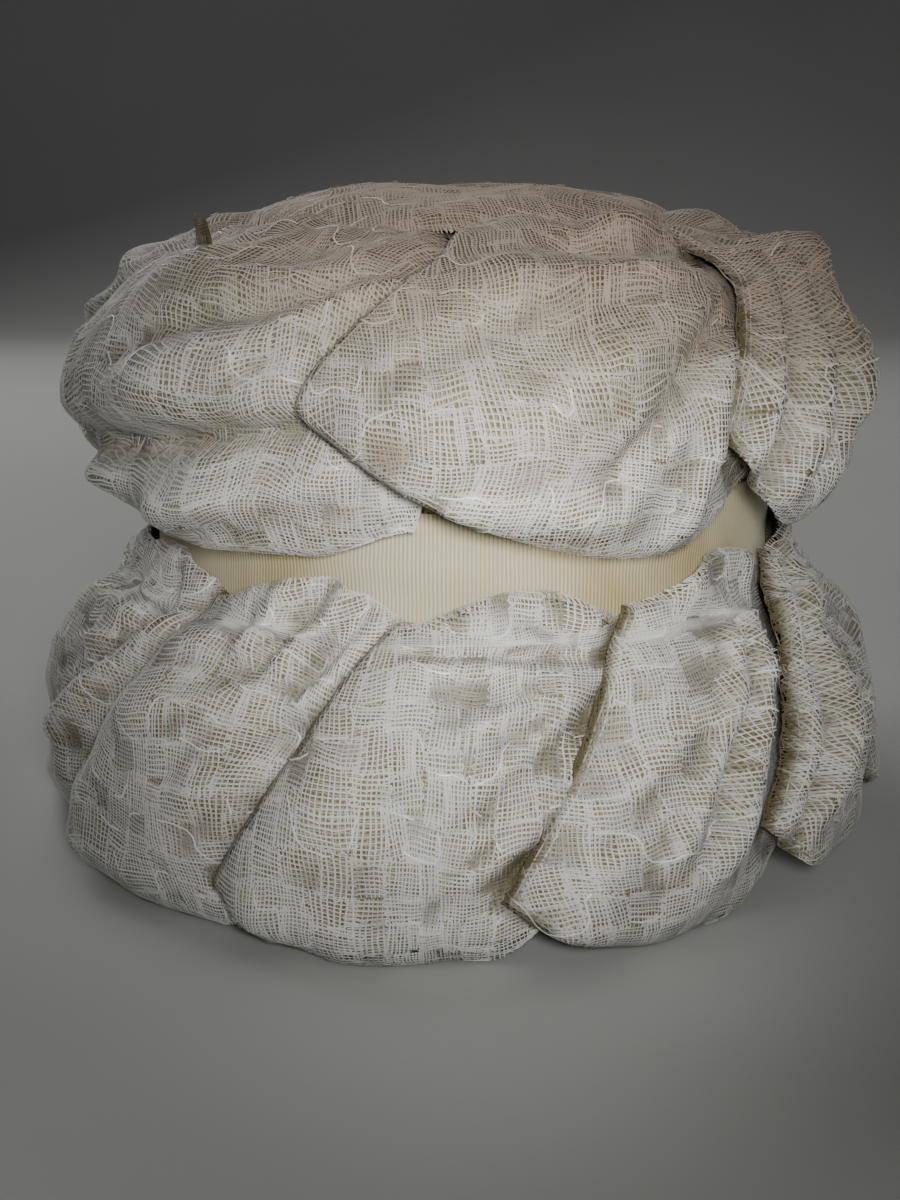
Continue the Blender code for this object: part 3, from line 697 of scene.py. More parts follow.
# The lace's chart. One row a patch, in millimetres of one repeat: left, top, width, height, its make, turn in
# degrees. "across" and "up" are strong bars that run that way over fine crosses, "net" is even square mesh.
REPEAT = (0.040, 0.036)
LACE_CHART = (
    (-0.5, -0.5, 9.5, 7.0, "across", -3), (8.5, -1.0, 6.5, 10.5, "up", 2), (14.5, -0.5, 11.5, 6.0, "net", 4),
    (25.5, -1.0, 8.0, 8.5, "up", -4), (33.0, 0.0, 7.5, 5.5, "across", 5),
    (-0.5, 6.0, 6.0, 9.0, "up", 5), (5.0, 6.5, 4.5, 7.0, "net", 0), (9.0, 9.0, 8.0, 5.5, "across", -6),
    (14.5, 5.0, 6.0, 8.8, "up", -4), (20.0, 5.0, 6.5, 9.5, "net", 3), (26.0, 7.0, 9.0, 6.5, "across", 3),
    (34.0, 5.0, 6.0, 9.5, "up", -3),
    (-1.0, 14.5, 9.5, 6.0, "net", -4), (8.0, 14.0, 6.0, 8.5, "up", 3), (13.5, 13.5, 7.5, 9.0, "up", -2),
    (20.5, 14.0, 5.5, 5.5, "across", 6), (25.5, 13.0, 9.0, 9.0, "net", -3), (34.0, 14.0, 6.5, 6.5, "across", 4),
    (-0.5, 20.0, 5.5, 8.5, "up", -5), (4.5, 20.2, 9.0, 8.0, "across", 4), (13.0, 22.0, 7.5, 7.5, "net", 5),
    (20.0, 19.0, 6.0, 9.5, "up", 4), (25.5, 21.5, 9.5, 6.0, "across", -5), (34.5, 20.0, 6.0, 8.5, "up", 2),
    (-0.5, 28.0, 9.0, 8.5, "net", 3), (8.0, 27.5, 5.5, 9.0, "up", -4), (13.0, 29.0, 8.5, 6.5, "across", 5),
    (21.0, 28.0, 8.5, 8.0, "net", -4), (29.0, 27.0, 5.5, 9.0, "up", 5), (34.0, 28.0, 6.5, 7.5, "across", -3),
)
# Shiny outline threads of one repeat: points in millimetres, rounded into waves
OUTLINE_CHART = (
    ((0, 7.0), (4, 6.4), (8.4, 7.4), (9.2, 12), (13, 14.2), (17, 13.2), (21, 14.8), (26, 13.2), (27, 8), (33, 6.6)),
    ((14.8, 1), (15.4, 5.2), (20, 4.4), (25, 6.2), (26.2, 1.5)),
    ((1, 20.6), (5, 21.6), (9, 21.0), (13, 22.8), (13.6, 28), (9, 28.6), (4, 27.2)),
    ((20.4, 19), (24, 20.6), (26, 27), (30, 28.2), (34.6, 26.8), (35, 20.6), (39, 19.6)),
)
# Distances from thread to thread, in millimetres as on the chart
BAR_PITCH = 0.98
CROSS_PITCH = 0.90
MESH_PITCH = 0.86
BAR_LOOP = 0.4  # pitches that a bar's turn loops out past its patch
CROSS_PAST = 0.6  # millimetres that a cross thread runs past its patch
POINT_STEP = 3.1  # millimetres from point to point of a thread
# Half the thickness of the threads, in metres like all that follows
BAR_GAUGE = 0.00022
CROSS_GAUGE = 0.00014
MESH_GAUGE = 0.00017
SHINY_GAUGE = 0.00022
THREAD_WANDER = 0.00009
# How far a patch turns and shifts from the chart, and its tones from dark to light
PATCH_TURN = math.radians(2.2)
PATCH_SHIFT = 0.00035
PATCH_TONE = (0.15, 0.85)
LACE_WAVES = ((0.046, 0.0016), (0.027, 0.0007), (0.0125, 0.00022), (0.0061, 0.00010))  # length and size of each
OUTLINES_KEPT = 0.85  # share of the outline threads that are left on the old lace
OUTLINE_RUN = 0.0019  # sets how often an outline thread dips under the net


def chart_repeat():
    """One repeat: places from each patch's middle, middles, patch numbers, edges, gauges and whether shiny."""
    places, numbers, edges, gauges, shiny, middles = [], [], [], [], [], []

    def draw(points, gauge, gloss):
        first = len(places)
        places.extend(points)
        numbers.extend([len(middles) - 1] * len(points))
        edges.extend((first + k, first + k + 1) for k in range(len(points) - 1))
        gauges.extend([gauge] * len(points))
        shiny.extend([gloss] * (len(points) - 1))

    for left, top, wide, tall, make, turn in LACE_CHART:
        middles.append((left + 0.5 * wide, top + 0.5 * tall))
        up = make == "up"
        long, short = (tall, wide) if up else (wide, tall)
        pitch, gauge = (MESH_PITCH, MESH_GAUGE) if make == "net" else (BAR_PITCH, BAR_GAUGE)
        cross_pitch, cross_gauge = (MESH_PITCH, MESH_GAUGE) if make == "net" else (CROSS_PITCH, CROSS_GAUGE)
        bars = round(short / pitch)
        bar = np.linspace(-0.5, 0.5, math.ceil(long / POINT_STEP) + 1) * long
        thread = []
        for k in range(bars):
            side = -1.0 if k % 2 else 1.0
            y = ((k + 0.5) / bars - 0.5) * short
            thread += [(side * x, y) for x in bar]
            if k < bars - 1:
                thread.append((side * (0.5 * long + BAR_LOOP * pitch), y + 0.5 * short / bars))
        lines = [(thread, gauge)]
        crosses = round(long / cross_pitch)
        cross = np.linspace(-0.5, 0.5, math.ceil(short / POINT_STEP) + 1) * (short + CROSS_PAST)
        for k in range(crosses):
            x = ((k + 0.5) / crosses - 0.5) * long
            lines.append(([(x, y) for y in cross], cross_gauge))
        c, s = math.cos(math.radians(turn)), math.sin(math.radians(turn))
        for line, gauge in lines:
            line = [(y, x) for x, y in line] if up else line
            draw([(x * c - y * s, x * s + y * c) for x, y in line], gauge, False)
    for line in OUTLINE_CHART:
        line = rounded(line, 2)
        middles.append(tuple(line.mean(0)))
        draw([tuple(point) for point in line - line.mean(0)], SHINY_GAUGE, True)
    return [np.array(part) for part in (places, numbers, edges, gauges, shiny, middles)]


places, numbers, edges, gauges, shiny, middles = chart_repeat()


def lay_lace(low, high, seed):
    """Flat lace over a rectangle, in metres: places, edges, gauge and tone of each point, shiny edges."""
    luck = np.random.default_rng(seed)
    low, high = np.array(low), np.array(high)
    start = low - luck.uniform(0.0, 1.0, 2) * REPEAT
    counts = np.ceil((high - start) / REPEAT).astype(int)
    tiles = np.stack(np.meshgrid(np.arange(counts[0]), np.arange(counts[1])), -1).reshape(-1, 2)
    many = (len(tiles), len(middles))
    angle = luck.normal(0.0, PATCH_TURN, many)[:, numbers]
    shift = luck.normal(0.0, PATCH_SHIFT, (*many, 2))[:, numbers]
    tone = luck.uniform(*PATCH_TONE, many)[:, numbers]
    local = places / 1000.0
    x = local[:, 0] * np.cos(angle) - local[:, 1] * np.sin(angle)
    y = local[:, 0] * np.sin(angle) + local[:, 1] * np.cos(angle)
    spots = np.stack([x, y], -1) + shift + middles[numbers] / 1000.0 + (start + tiles * REPEAT)[:, None, :]
    spots = spots.reshape(-1, 2)
    for wave, size in LACE_WAVES:
        turn, phase = luck.uniform(0.0, 2.0 * math.pi, (2, 2))
        for axis in (0, 1):
            along = spots[:, 0] * math.cos(turn[axis]) + spots[:, 1] * math.sin(turn[axis])
            spots[:, axis] += size * np.sin(2.0 * math.pi * along / wave + phase[axis])
    spots += luck.normal(0.0, THREAD_WANDER, spots.shape)
    ends = (edges[None] + (np.arange(len(tiles)) * len(local))[:, None, None]).reshape(-1, 2)
    gloss = np.tile(shiny, len(tiles))
    kept = (luck.uniform(0.0, 1.0, many) < OUTLINES_KEPT)[:, numbers[edges[:, 0]]].ravel()
    at = spots[ends[:, 0]].T / OUTLINE_RUN
    kept = (kept & (np.sin(at[0]) * np.sin(at[1]) > -0.2)) | ~gloss
    return spots, ends[kept], np.tile(gauges, len(tiles)), tone.ravel(), gloss[kept]


thread_maker, given = new_maker("lace threads", Thread="NodeSocketMaterial")
lines = add_node(thread_maker, "GeometryNodeMeshToCurve", [("Mesh", given, "Mesh")])
outward = add_node(thread_maker, "GeometryNodeInputNamedAttribute", data_type="FLOAT_VECTOR", Name="outward")
facing = add_node(thread_maker, "GeometryNodeSetCurveNormal", [("Curve", lines, "Curve"),
                                                               ("Normal", outward, "Attribute")], mode="FREE")
half_round = add_node(thread_maker, "GeometryNodeCurveArc", Resolution=3, Radius=1.0,
                      Start_Angle=-0.5 * math.pi, Sweep_Angle=math.pi)
pressed_flat = add_node(thread_maker, "GeometryNodeTransform", [("Geometry", half_round, "Curve")],
                        Scale=(0.35, 1.0, 1.0))
gauge = add_node(thread_maker, "GeometryNodeInputNamedAttribute", data_type="FLOAT", Name="gauge")
spun = add_node(thread_maker, "GeometryNodeCurveToMesh", [
    ("Curve", facing, "Curve"), ("Profile Curve", pressed_flat, "Geometry"), ("Scale", gauge, "Attribute")])
soft = add_node(thread_maker, "GeometryNodeSetShadeSmooth", [("Geometry", spun, "Mesh")])
real = add_node(thread_maker, "GeometryNodeRealizeInstances", [("Geometry", soft, "Geometry")])
dyed = add_node(thread_maker, "GeometryNodeSetMaterial", [("Geometry", real, "Geometry"),
                                                          ("Material", given, "Thread")])
add_node(thread_maker, "NodeGroupOutput", [("Mesh", dyed, "Geometry")])


# Cotton lace thread: mercerised cotton gone ivory, matt with a faint lustre, a pink-beige tint of painted light
# towards the crown's top and right, painted glints in its fine mottle, painted shade from the petals' folds in its
# tone, and a few rust-brown spots. The outline threads are rayon, which is whiter and shiny.
LACE_SEED = 7


def sew_threads(name, strands, material):
    """A piece of real threads, half round, along edges between points. A strand is its points, which way they face,
    edges, gauge and tone."""
    before = np.cumsum([0] + [len(strand[0]) for strand in strands])
    ends = np.concatenate([strand[2] + first for strand, first in zip(strands, before)])
    points, outward, gauge, tone = (np.concatenate([strand[k] for strand in strands]) for k in (0, 1, 3, 4))
    used, ends = np.unique(ends, return_inverse=True)
    source = bpy.data.meshes.new(name)
    source.from_pydata(points[used], ends.reshape(-1, 2), [])
    for key, values in (("gauge", gauge), ("tone", tone)):
        source.attributes.new(key, "FLOAT", "POINT").data.foreach_set("value", values[used])
    source.attributes.new("outward", "FLOAT_VECTOR", "POINT").data.foreach_set("vector", outward[used].ravel())
    return add_piece(name, plain_mesh(name, source, thread_maker, Thread=material), material)


def lace_thread(name, dark, light, painted_top_tint, roughness, grain_and_glint_scale):
    """Material of a lace thread: its tones, the tint of light painted towards the crown's top, and its gloss."""
    material, tree, shader, place = new_material(name, Roughness=roughness, Sheen_Weight=0.1)
    tone = add_node(tree, "ShaderNodeAttribute", attribute_name="tone")
    # Fine mottle: random grain of the thread, and painted glints along it
    grain_and_glints = add_node(tree, "ShaderNodeTexNoise", [("Vector", place, "Object")], Scale=grain_and_glint_scale, Detail=3.0)
    both = add_node(tree, "ShaderNodeMath", [(0, tone, "Fac"), (1, grain_and_glints, "Fac")], operation="ADD")
    ivory = add_node(tree, "ShaderNodeValToRGB", [("Fac", both, "Value")], ((0.45, dark), (1.0, light)))
    # Pink-beige tint towards the crown's top and right: painted light
    axes = add_node(tree, "ShaderNodeSeparateXYZ", [("Vector", place, "Object")])
    drift = add_node(tree, "ShaderNodeTexNoise", [("Vector", place, "Object")], Scale=14.0, Detail=2.0)
    right = add_node(tree, "ShaderNodeMath", [(0, axes, "X"), (2, axes, "Z")], operation="MULTIPLY_ADD", i1=0.20)
    level = add_node(tree, "ShaderNodeMath", [(0, drift, "Fac"), (2, right, "Value")], operation="MULTIPLY_ADD",
                     i1=0.060)
    high = add_node(tree, "ShaderNodeMapRange", [("Value", level, "Value")], From_Min=0.145, From_Max=0.185)
    # Olive where the tone runs low: random dark tone, and painted shade from the petals' hollows and seams
    dark_tone_and_shade = add_node(tree, "ShaderNodeMapRange", [("Value", both, "Value")], From_Min=0.45, From_Max=-0.10)
    spots = add_node(tree, "ShaderNodeTexNoise", [("Vector", place, "Object")], Scale=33.0, Detail=2.0)
    rust = add_node(tree, "ShaderNodeMapRange", [("Value", spots, "Fac")], From_Min=0.70, From_Max=0.80,
                    To_Max=0.6)
    colour = ivory
    for share, out, code in ((high, "Color", painted_top_tint), (dark_tone_and_shade, 2, "#6b6142"), (rust, 2, "#9a6a3c")):
        colour = add_node(tree, "ShaderNodeMix", [("Factor", share, "Result"), (6, colour, out)], data_type="RGBA",
                          i7=linear(code))
    tree.links.new(colour.outputs[2], shader.inputs["Base Color"])
    return material


cotton = lace_thread("mercerised cotton lace thread", "#aeaca0", "#ecebe3", "#d4c0ac", 0.62, 140.0)
rayon = lace_thread("rayon outline thread", "#dcdbd2", "#ffffff", "#e8d8c6", 0.24, 240.0)

# Under layer of the doubled lace: the same cotton net in the shade of the top one, khaki between its threads, partly
# its own tan and partly painted shade, darker with painted shade in its hollows and along the seams, and brown on the
# crown's top.
CLOTH_UNIT = 0.010  # the UV map of a lace sheet counts centimetres, so a scale below is one for a centimetre
WAVE_PERIOD = 0.314  # of a wave texture at scale 1
under_lace, tree, shader, place = new_material("cotton lace, under layer", Roughness=0.85)
warp = add_node(tree, "ShaderNodeTexNoise", [("Vector", place, "UV")], Scale=1.1, Detail=2.0)
bent = add_node(tree, "ShaderNodeMix", [(4, place, "UV"), (5, warp, "Color")], data_type="VECTOR", i0=0.25)
bands = [
    add_node(tree, "ShaderNodeTexWave", [("Vector", bent, 1)], bands_direction=way, Scale=WAVE_PERIOD / period,
             Distortion=1.5, Detail=2.0, Detail_Scale=1.5)
    for way, period in (("X", 0.062), ("Y", 0.070))
]
patch = add_node(tree, "ShaderNodeTexVoronoi", [("Vector", bent, 1)], Scale=1.6)
choice = add_node(tree, "ShaderNodeSeparateColor", [("Color", patch, "Color")])
weights = add_node(tree, "ShaderNodeMapRange", [("Value", choice, "Red")], To_Min=0.7, To_Max=1.0)
fine = add_node(tree, "ShaderNodeMath", [(0, bands[0], "Fac"), (1, weights, "Result")], operation="MULTIPLY")
mesh_of = add_node(tree, "ShaderNodeMath", [(0, fine, "Value"), (1, bands[1], "Fac")], operation="MAXIMUM")
khaki = add_node(tree, "ShaderNodeValToRGB", [("Fac", mesh_of, "Value")],
                 ((0.40, "#8f8768"), (0.70, "#aaa48e"), (0.95, "#cbc7b8")))
blot = add_node(tree, "ShaderNodeTexNoise", [("Vector", place, "UV")], Scale=0.9, Detail=3.0)
shade = add_node(tree, "ShaderNodeValToRGB", [("Fac", blot, "Fac")], ((0.45, "#ffffff"), (0.75, "#d2c9b0")))
colour = add_node(tree, "ShaderNodeMix", [(6, khaki, "Color"), (7, shade, "Color")], data_type="RGBA",
                  blend_type="MULTIPLY", i0=1.0)
# Painted shade in the hollows, along the seams and on the turned edges darkens it to dark olive; it is browner
# towards the crown's top
painted_shading = add_node(tree, "ShaderNodeAttribute", attribute_name="painted_shading")
shaded_share = add_node(tree, "ShaderNodeMapRange", [("Value", painted_shading, "Fac")], From_Max=0.9, To_Max=0.6)
axes = add_node(tree, "ShaderNodeSeparateXYZ", [("Vector", place, "Object")])
high = add_node(tree, "ShaderNodeMapRange", [("Value", axes, "Z")], From_Min=0.145, From_Max=0.172, To_Max=0.6)
for share, code in ((shaded_share, "#5c5438"), (high, "#8f6f52")):
    colour = add_node(tree, "ShaderNodeMix", [("Factor", share, "Result"), (6, colour, 2)], data_type="RGBA",
                      i7=linear(code))
relief = add_node(tree, "ShaderNodeBump", [("Height", mesh_of, "Value")], Strength=0.5, Distance=0.0004)
tree.links.new(colour.outputs[2], shader.inputs["Base Color"])
tree.links.new(relief.outputs["Normal"], shader.inputs["Normal"])

NET_COLUMNS, NET_ROWS = 38, 30
NET_THICK = 0.0004
NET_SINK = 0.0009  # the under layer lies this far below the top threads
NET_SHORT = 0.0016  # and stops this far short of the upper edges
NET_HEM = 0.0045  # and of the hems, where the lace is single
NET_HEM_FROM, NET_HEM_RUN = 0.35, 0.25  # shares of the width where that begins and over which it grows
NET_EDGE = (0.0004, 0.0012, 0.0021, 0.0040)  # its outermost rows, from the free edges
NET_EVEN = 0.007  # its even rows begin this far in
BAR_LIFT, CROSS_LIFT, OUTLINE_LIFT = 0.00012, -0.00008, 0.0003  # of threads off the cloth's middle
LACE_FROM, LACE_TO = -0.02, 1.04  # levels of a ring over which flat lace is laid
# Threads along the free edges: how far in they lie, how far they are sunk, their tone, the outer ones darker as
# painted shade along the edge
RIM_THREADS = ((0.0001, 0.0005, -0.6), (0.0010, 0.0, -0.3), (0.0021, 0.0001, 0.0))
RIM_GAUGE = 0.00018
RIM_POINTS = 110
RIM_TIP = 0.42  # share of a rim thread at which it comes to the petal's tip
RIM_WAVE, RIM_WAVES, RIM_SHIFT = 0.0001, 75.0, 3000.0  # size, radians along a thread, radians for a metre inwards
# Corners of lace left standing: node, share of the width and level of its foot
STANDING_CORNERS = (("crown_petal_7", 0.33, 0.33),)
CORNER_WIDE, CORNER_TALL = 0.0085, 0.0100
CORNER_SUNK = 0.002
CORNER_FOLD = 0.0006  # half the space between its two leaves
CORNER_NARROWS = 0.5  # share of its width lost at its top
CORNER_UP = (-0.05, 0.0, 1.0)
CORNER_TONE = -0.6


def give_cloth_map(mesh, flat):
    """Gives a lace sheet its UV map from the flat place of each of its points."""
    corner = np.zeros(len(mesh.loops), int)
    mesh.loops.foreach_get("vertex_index", corner)
    mesh.uv_layers.new(name="cloth").data.foreach_set("uv", (flat[corner] / CLOTH_UNIT).ravel())


def net_grid(ring, index, u, down, short=0.0, hem=0.0):
    """A petal's under layer at shares of its width and height: azimuths, levels and points."""
    top, bottom = ring.outline(index, u)
    top = top + short / ring.length
    bottom = bottom - hem / ring.length * ease((u - NET_HEM_FROM) / NET_HEM_RUN)
    level = top + (bottom - top) * down
    azimuth = ring.width(index) * u + ring.slant(index, level)
    return azimuth, level, ring.place(index, azimuth, level, -NET_SINK)


def flat_size(points):
    """Longest row, longest column and area of a grid of points."""
    across = np.linalg.norm(np.diff(points, axis=1), axis=2).sum(1).max()
    down = np.linalg.norm(np.diff(points, axis=0), axis=2).sum(0).max()
    a, b = points[1:, 1:] - points[:-1, :-1], points[1:, :-1] - points[:-1, 1:]
    return float(across), float(down), float(0.5 * np.linalg.norm(np.cross(a, b), axis=2).sum())


def rim(ring, index, inset):
    """Azimuths and levels along a petal's free edges: down its leading edge, then along its hem."""
    line = np.linspace(0.0, 1.0, RIM_POINTS)
    inset = inset + RIM_WAVE * np.sin(line * RIM_WAVES + RIM_SHIFT * inset)
    u = np.maximum(inset / (ring.width(index) * DEGREE), np.clip((line - RIM_TIP) / (1.0 - RIM_TIP), 0.0, 1.0))
    top, bottom = ring.outline(index, u)
    level = top + (bottom - inset / ring.length - top) * np.clip(line / RIM_TIP, 0.0, 1.0)
    return ring.width(index) * u + ring.slant(index, level), level


def folded_corner(ring, index, azimuth, level):
    """A strand of lace at a petal's corner, folded double and left standing."""
    base = ring.place(index, azimuth, level, 0.0)
    angle = math.radians(ring.rows[index].tip + azimuth)
    round_hat = np.array([math.cos(angle), math.sin(angle), 0.0])
    away = ring.outward(index, np.array([azimuth]), np.array([level]))[0]
    spots, ends, gauge = lay_lace((-CORNER_WIDE, 0.0), (CORNER_WIDE, CORNER_TALL), LACE_SEED)[:3]
    inside = (np.abs(spots[:, 0]) <= CORNER_WIDE) & (spots[:, 1] >= -CORNER_SUNK) & (spots[:, 1] <= CORNER_TALL)
    side = np.clip(spots[:, 0], -CORNER_WIDE, CORNER_WIDE)
    up = np.clip(spots[:, 1], -CORNER_SUNK, CORNER_TALL)
    narrow = 1.0 - CORNER_NARROWS * np.clip(up / CORNER_TALL, 0.0, 1.0) ** 1.5
    # Two low bends, one out from the hat and one round it
    out = np.where(side > 0.0, CORNER_FOLD, -CORNER_FOLD) + 0.0010 * np.sin(up / 0.0022)
    points = (base + (np.abs(side) * narrow + 0.0012 * np.sin(up / 0.003))[:, None] * round_hat
              + out[:, None] * away + up[:, None] * np.array(CORNER_UP))
    outward = np.where(side[:, None] > 0.0, away, -away)
    return points, outward, ends[inside[ends].all(axis=1)], gauge, np.full(len(gauge), CORNER_TONE)


def add_petal(ring, index):
    """Under layer, lace and outline threads of one petal."""
    row, width = ring.rows[index], ring.width(index)
    edge = np.array(NET_EDGE)
    u = np.concatenate([edge / (width * DEGREE), np.linspace(NET_EVEN / (width * DEGREE), 1.0, NET_COLUMNS)])
    down = np.concatenate([np.linspace(0.0, 1.0 - NET_EVEN / ring.length, NET_ROWS), 1.0 - edge[::-1] / ring.length])
    azimuth, level, points = net_grid(ring, index, u[None, :], down[:, None], NET_SHORT if ring.top_fall else 0.0,
                                      NET_HEM)
    mesh = sheet_mesh(row.node + "_net", points)
    flat = np.stack([np.radians(azimuth) * ring.cloth_radius(level), -level * ring.length], -1)
    give_cloth_map(mesh, flat.reshape(-1, 2))
    # Painted shade of the under layer, in its hollows, beside the next petal's edge and on its turned edge
    painted_shading = ring.painted_shading(index, azimuth, level)
    mesh.attributes.new("painted_shading", "FLOAT", "POINT").data.foreach_set("value", painted_shading.ravel())
    net = add_piece(row.node + "_net", mesh, under_lace)

    half = 0.5 * math.radians(width) * ring.cloth_radius(1.0) + math.radians(ring.lean) * ring.cloth_radius(1.0)
    spots, ends, gauge, tone, gloss = lay_lace(
        (-half, (row.upper + LACE_FROM) * ring.length), (half, LACE_TO * ring.length),
        LACE_SEED + 31 * index + len(ring.rows),
    )
    azimuth, level, inside = ring.from_cloth(index, spots[:, 0], spots[:, 1])
    keep = (inside & (ring.under_next(index, azimuth, level) < COVERED))[ends].any(axis=1)
    # The threads' tone falls with painted shade in hollows and beside the next petal's edge, and rises with a painted
    # highlight on crests
    tone = tone - ring.painted_shading(index, azimuth, level)
    points = ring.place(index, azimuth, level, np.where(gauge > CROSS_GAUGE, BAR_LIFT, CROSS_LIFT))
    outward = ring.outward(index, azimuth, level)
    cloth = [(points, outward, ends[keep & ~gloss], gauge, tone)]
    for node, at, at_level in STANDING_CORNERS:
        if node == row.node:
            cloth.append(folded_corner(ring, index, at * width, at_level))
    lace = sew_threads(row.node + "_lace", cloth, cotton)
    outlines = [(points + OUTLINE_LIFT * outward, outward, ends[keep & gloss], gauge, tone)]
    chain = np.stack([np.arange(RIM_POINTS - 1), np.arange(1, RIM_POINTS)], -1)
    for inset, sink, tone in RIM_THREADS:
        azimuth, level = rim(ring, index, inset)
        outlines.append((ring.place(index, azimuth, level, -sink), ring.outward(index, azimuth, level), chain,
                         np.full(RIM_POINTS, RIM_GAUGE), np.full(RIM_POINTS, tone)))
    outline = sew_threads(row.node + "_outline", outlines, rayon)
    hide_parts(row.node)
    give_wall(net, NET_THICK)
    u = np.linspace(NET_SHORT / (width * DEGREE), 1.0, NET_COLUMNS)[None, :]
    across, tall, area = flat_size(net_grid(ring, index, u, np.linspace(0.0, 1.0, NET_ROWS)[:, None])[2])


for ring, rests_on in ((crown_ring, "crown_foundation"), (brim_ring, "brim_foundation")):
    for index in range(len(ring.rows)):
        add_petal(ring, index)


# Crown tip: a round of the same lace over the inner ends of the crown's petals, puffed and stitched down at its
# edge. Being highest, it takes the most of the pink-beige light painted towards the crown's top, so it is the pinkest
# part of the hat.
TIP_LOW, TIP_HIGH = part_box("crown_tip")
DOME_RADIUS = 0.058
DOME_FOOT = TIP_LOW.z + 0.0008
DOME_TOP = TIP_HIGH.z - 0.0016
DOME_RINGS, DOME_SIDES = 23, 72
DOME_SHORT = 0.0006  # its under layer stops this far short of its edge
DOME_SPARE = 0.002  # flat lace laid past its edge
DOME_FACING = 0.08  # its threads face away from this far below its middle
DOME_OUTLINE_LIFT = 0.0005


def on_dome(x, y, lift):
    """Points of the dome over plan places, measured across the hat, with two low waves in its cloth."""
    radius = np.hypot(x, y)
    azimuth = np.degrees(np.arctan2(x, -y))
    flat = 1.0 - np.clip(radius / DOME_RADIUS, 0.0, 1.0)**4
    wave = 0.0007 * np.sin(x / 0.0065 + 2.0 * np.sin(y / 0.015)) + 0.0005 * np.sin(y / 0.0045 + x / 0.012)
    return oval(radius, azimuth, DOME_FOOT + (DOME_TOP - DOME_FOOT) * flat**0.6 + wave * flat + lift)


steps = np.linspace(0.0, 1.0, DOME_RINGS + 1)[:, None] * (DOME_RADIUS - DOME_SHORT)
turn = np.linspace(0.0, 2.0 * math.pi, DOME_SIDES + 1)[None, :]
points = on_dome(steps * np.sin(turn), -steps * np.cos(turn), -NET_SINK)
mesh = sheet_mesh("crown_tip_net", points)
give_cloth_map(mesh, points.reshape(-1, 3)[:, :2])
tip_net = add_piece("crown_tip_net", joined_round(mesh), under_lace)
give_wall(tip_net, NET_THICK)
reach = DOME_RADIUS + DOME_SPARE
spots, ends, gauge, tone, gloss = lay_lace((-reach, -reach), (reach, reach), LACE_SEED)
radius = np.hypot(*spots.T)
keep = (radius <= DOME_RADIUS)[ends].any(axis=1)
spots = spots * np.minimum(1.0, DOME_RADIUS / np.maximum(radius, 1e-6))[:, None]
outward = np.stack([spots[:, 0], spots[:, 1], np.full(len(spots), DOME_FACING)], -1)
points = on_dome(spots[:, 0], spots[:, 1], np.where(gauge > CROSS_GAUGE, BAR_LIFT, CROSS_LIFT))
tip_lace = sew_threads("crown_tip_lace", [(points, outward, ends[keep & ~gloss], gauge, tone)], cotton)
points = on_dome(spots[:, 0], spots[:, 1], DOME_OUTLINE_LIFT)
tip_outline = sew_threads("crown_tip_outline", [(points, outward, ends[keep & gloss], gauge, tone)], rayon)
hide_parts("crown_tip")


# Setting: a plain pale floor that sweeps up behind, a small lamp close to the camera as in the photograph, with a
# beam that falls off towards the hat's sides, and soft fill. The camera has the photograph's angle.
CAMERA_AIM = (-0.0032, -0.0003, 0.052)
CAMERA_AWAY = 0.450
CAMERA_RISE = math.radians(14.0)
LENS, FILM_HEIGHT = 31.46, 24.0  # millimetres
FLOOR_FRONT, FLOOR_HALF_WIDTH = -2.5, 4.0
SWEEP_BACK, SWEEP_ROUND, SWEEP_TOP = 1.6, 0.8, 3.5
# Lamps: name, place, aim, size, watts, beam in degrees
LAMPS = (
    ("key", (0.020, -0.445, 0.185), (0.010, -0.1, 0.088), 0.05, 0.082, 42.0),
    ("side", (1.3, 0.7, 0.7), (0.0, 0.0, 0.07), 1.0, 3.0, 180.0),
    ("top", (-0.7, 0.9, 1.1), (0.0, 0.0, 0.1), 1.2, 8.0, 180.0),
)
STUDIO_GREY, STUDIO_LIGHT = "#dfe2e6", 0.07

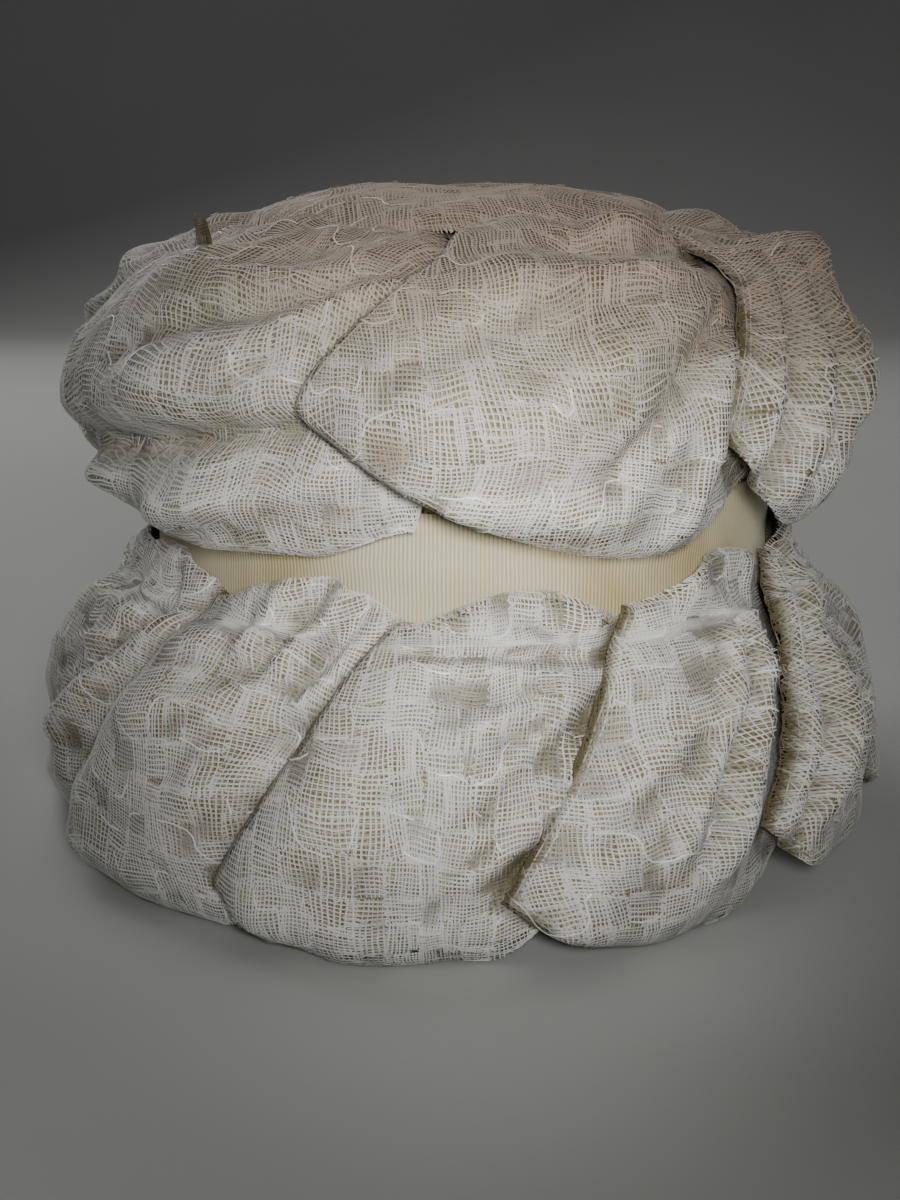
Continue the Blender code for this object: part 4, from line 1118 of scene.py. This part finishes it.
paper, tree, shader, place = new_material("matt paper sweep", Roughness=0.95)
fibre = add_node(tree, "ShaderNodeTexNoise", [("Vector", place, "Object")], Scale=3.0, Detail=2.0)
tint = add_node(tree, "ShaderNodeValToRGB", [("Fac", fibre, "Fac")], ((0.3, "#c9c9c6"), (0.7, "#cdcdca")))
tree.links.new(tint.outputs["Color"], shader.inputs["Base Color"])
profile = [(FLOOR_FRONT, 0.0), (SWEEP_BACK, 0.0)]
for angle in np.linspace(0.1, 1.5, 14):
    profile.append((SWEEP_BACK + SWEEP_ROUND * math.sin(angle), SWEEP_ROUND - SWEEP_ROUND * math.cos(angle)))
profile.append((SWEEP_BACK + SWEEP_ROUND, SWEEP_TOP))
points = np.array([[(x, y, z) for x in (FLOOR_HALF_WIDTH, -FLOOR_HALF_WIDTH)] for y, z in profile])
floor = bpy.data.objects.new("floor", sheet_mesh("floor", points))
bpy.context.scene.collection.objects.link(floor)
floor.data.materials.append(paper)

camera = bpy.data.objects.new("camera", bpy.data.cameras.new("camera"))
bpy.context.scene.collection.objects.link(camera)
camera.location = (CAMERA_AIM[0], CAMERA_AIM[1] - CAMERA_AWAY * math.cos(CAMERA_RISE),
                   CAMERA_AIM[2] + CAMERA_AWAY * math.sin(CAMERA_RISE))
camera.rotation_euler = (0.5 * math.pi - CAMERA_RISE, 0.0, 0.0)
camera.data.sensor_fit = "VERTICAL"
camera.data.sensor_height = FILM_HEIGHT
camera.data.lens = LENS
camera.data.clip_start = 0.01
bpy.context.scene.camera = camera

for name, place, aim, size, watts, beam in LAMPS:
    lamp = bpy.data.objects.new(name, bpy.data.lights.new(name, "AREA"))
    bpy.context.scene.collection.objects.link(lamp)
    lamp.data.size = size
    lamp.data.energy = watts
    lamp.data.spread = math.radians(beam)
    lamp.location = place
    away = np.array(place) - np.array(aim)
    lamp.rotation_euler = (math.acos(away[2] / np.linalg.norm(away)), 0.0, math.atan2(away[0], -away[1]))
world = bpy.data.worlds.new("studio")
bpy.context.scene.world = world
world.use_nodes = True
background = world.node_tree.nodes["Background"]
background.inputs["Color"].default_value = linear(STUDIO_GREY)
background.inputs["Strength"].default_value = STUDIO_LIGHT
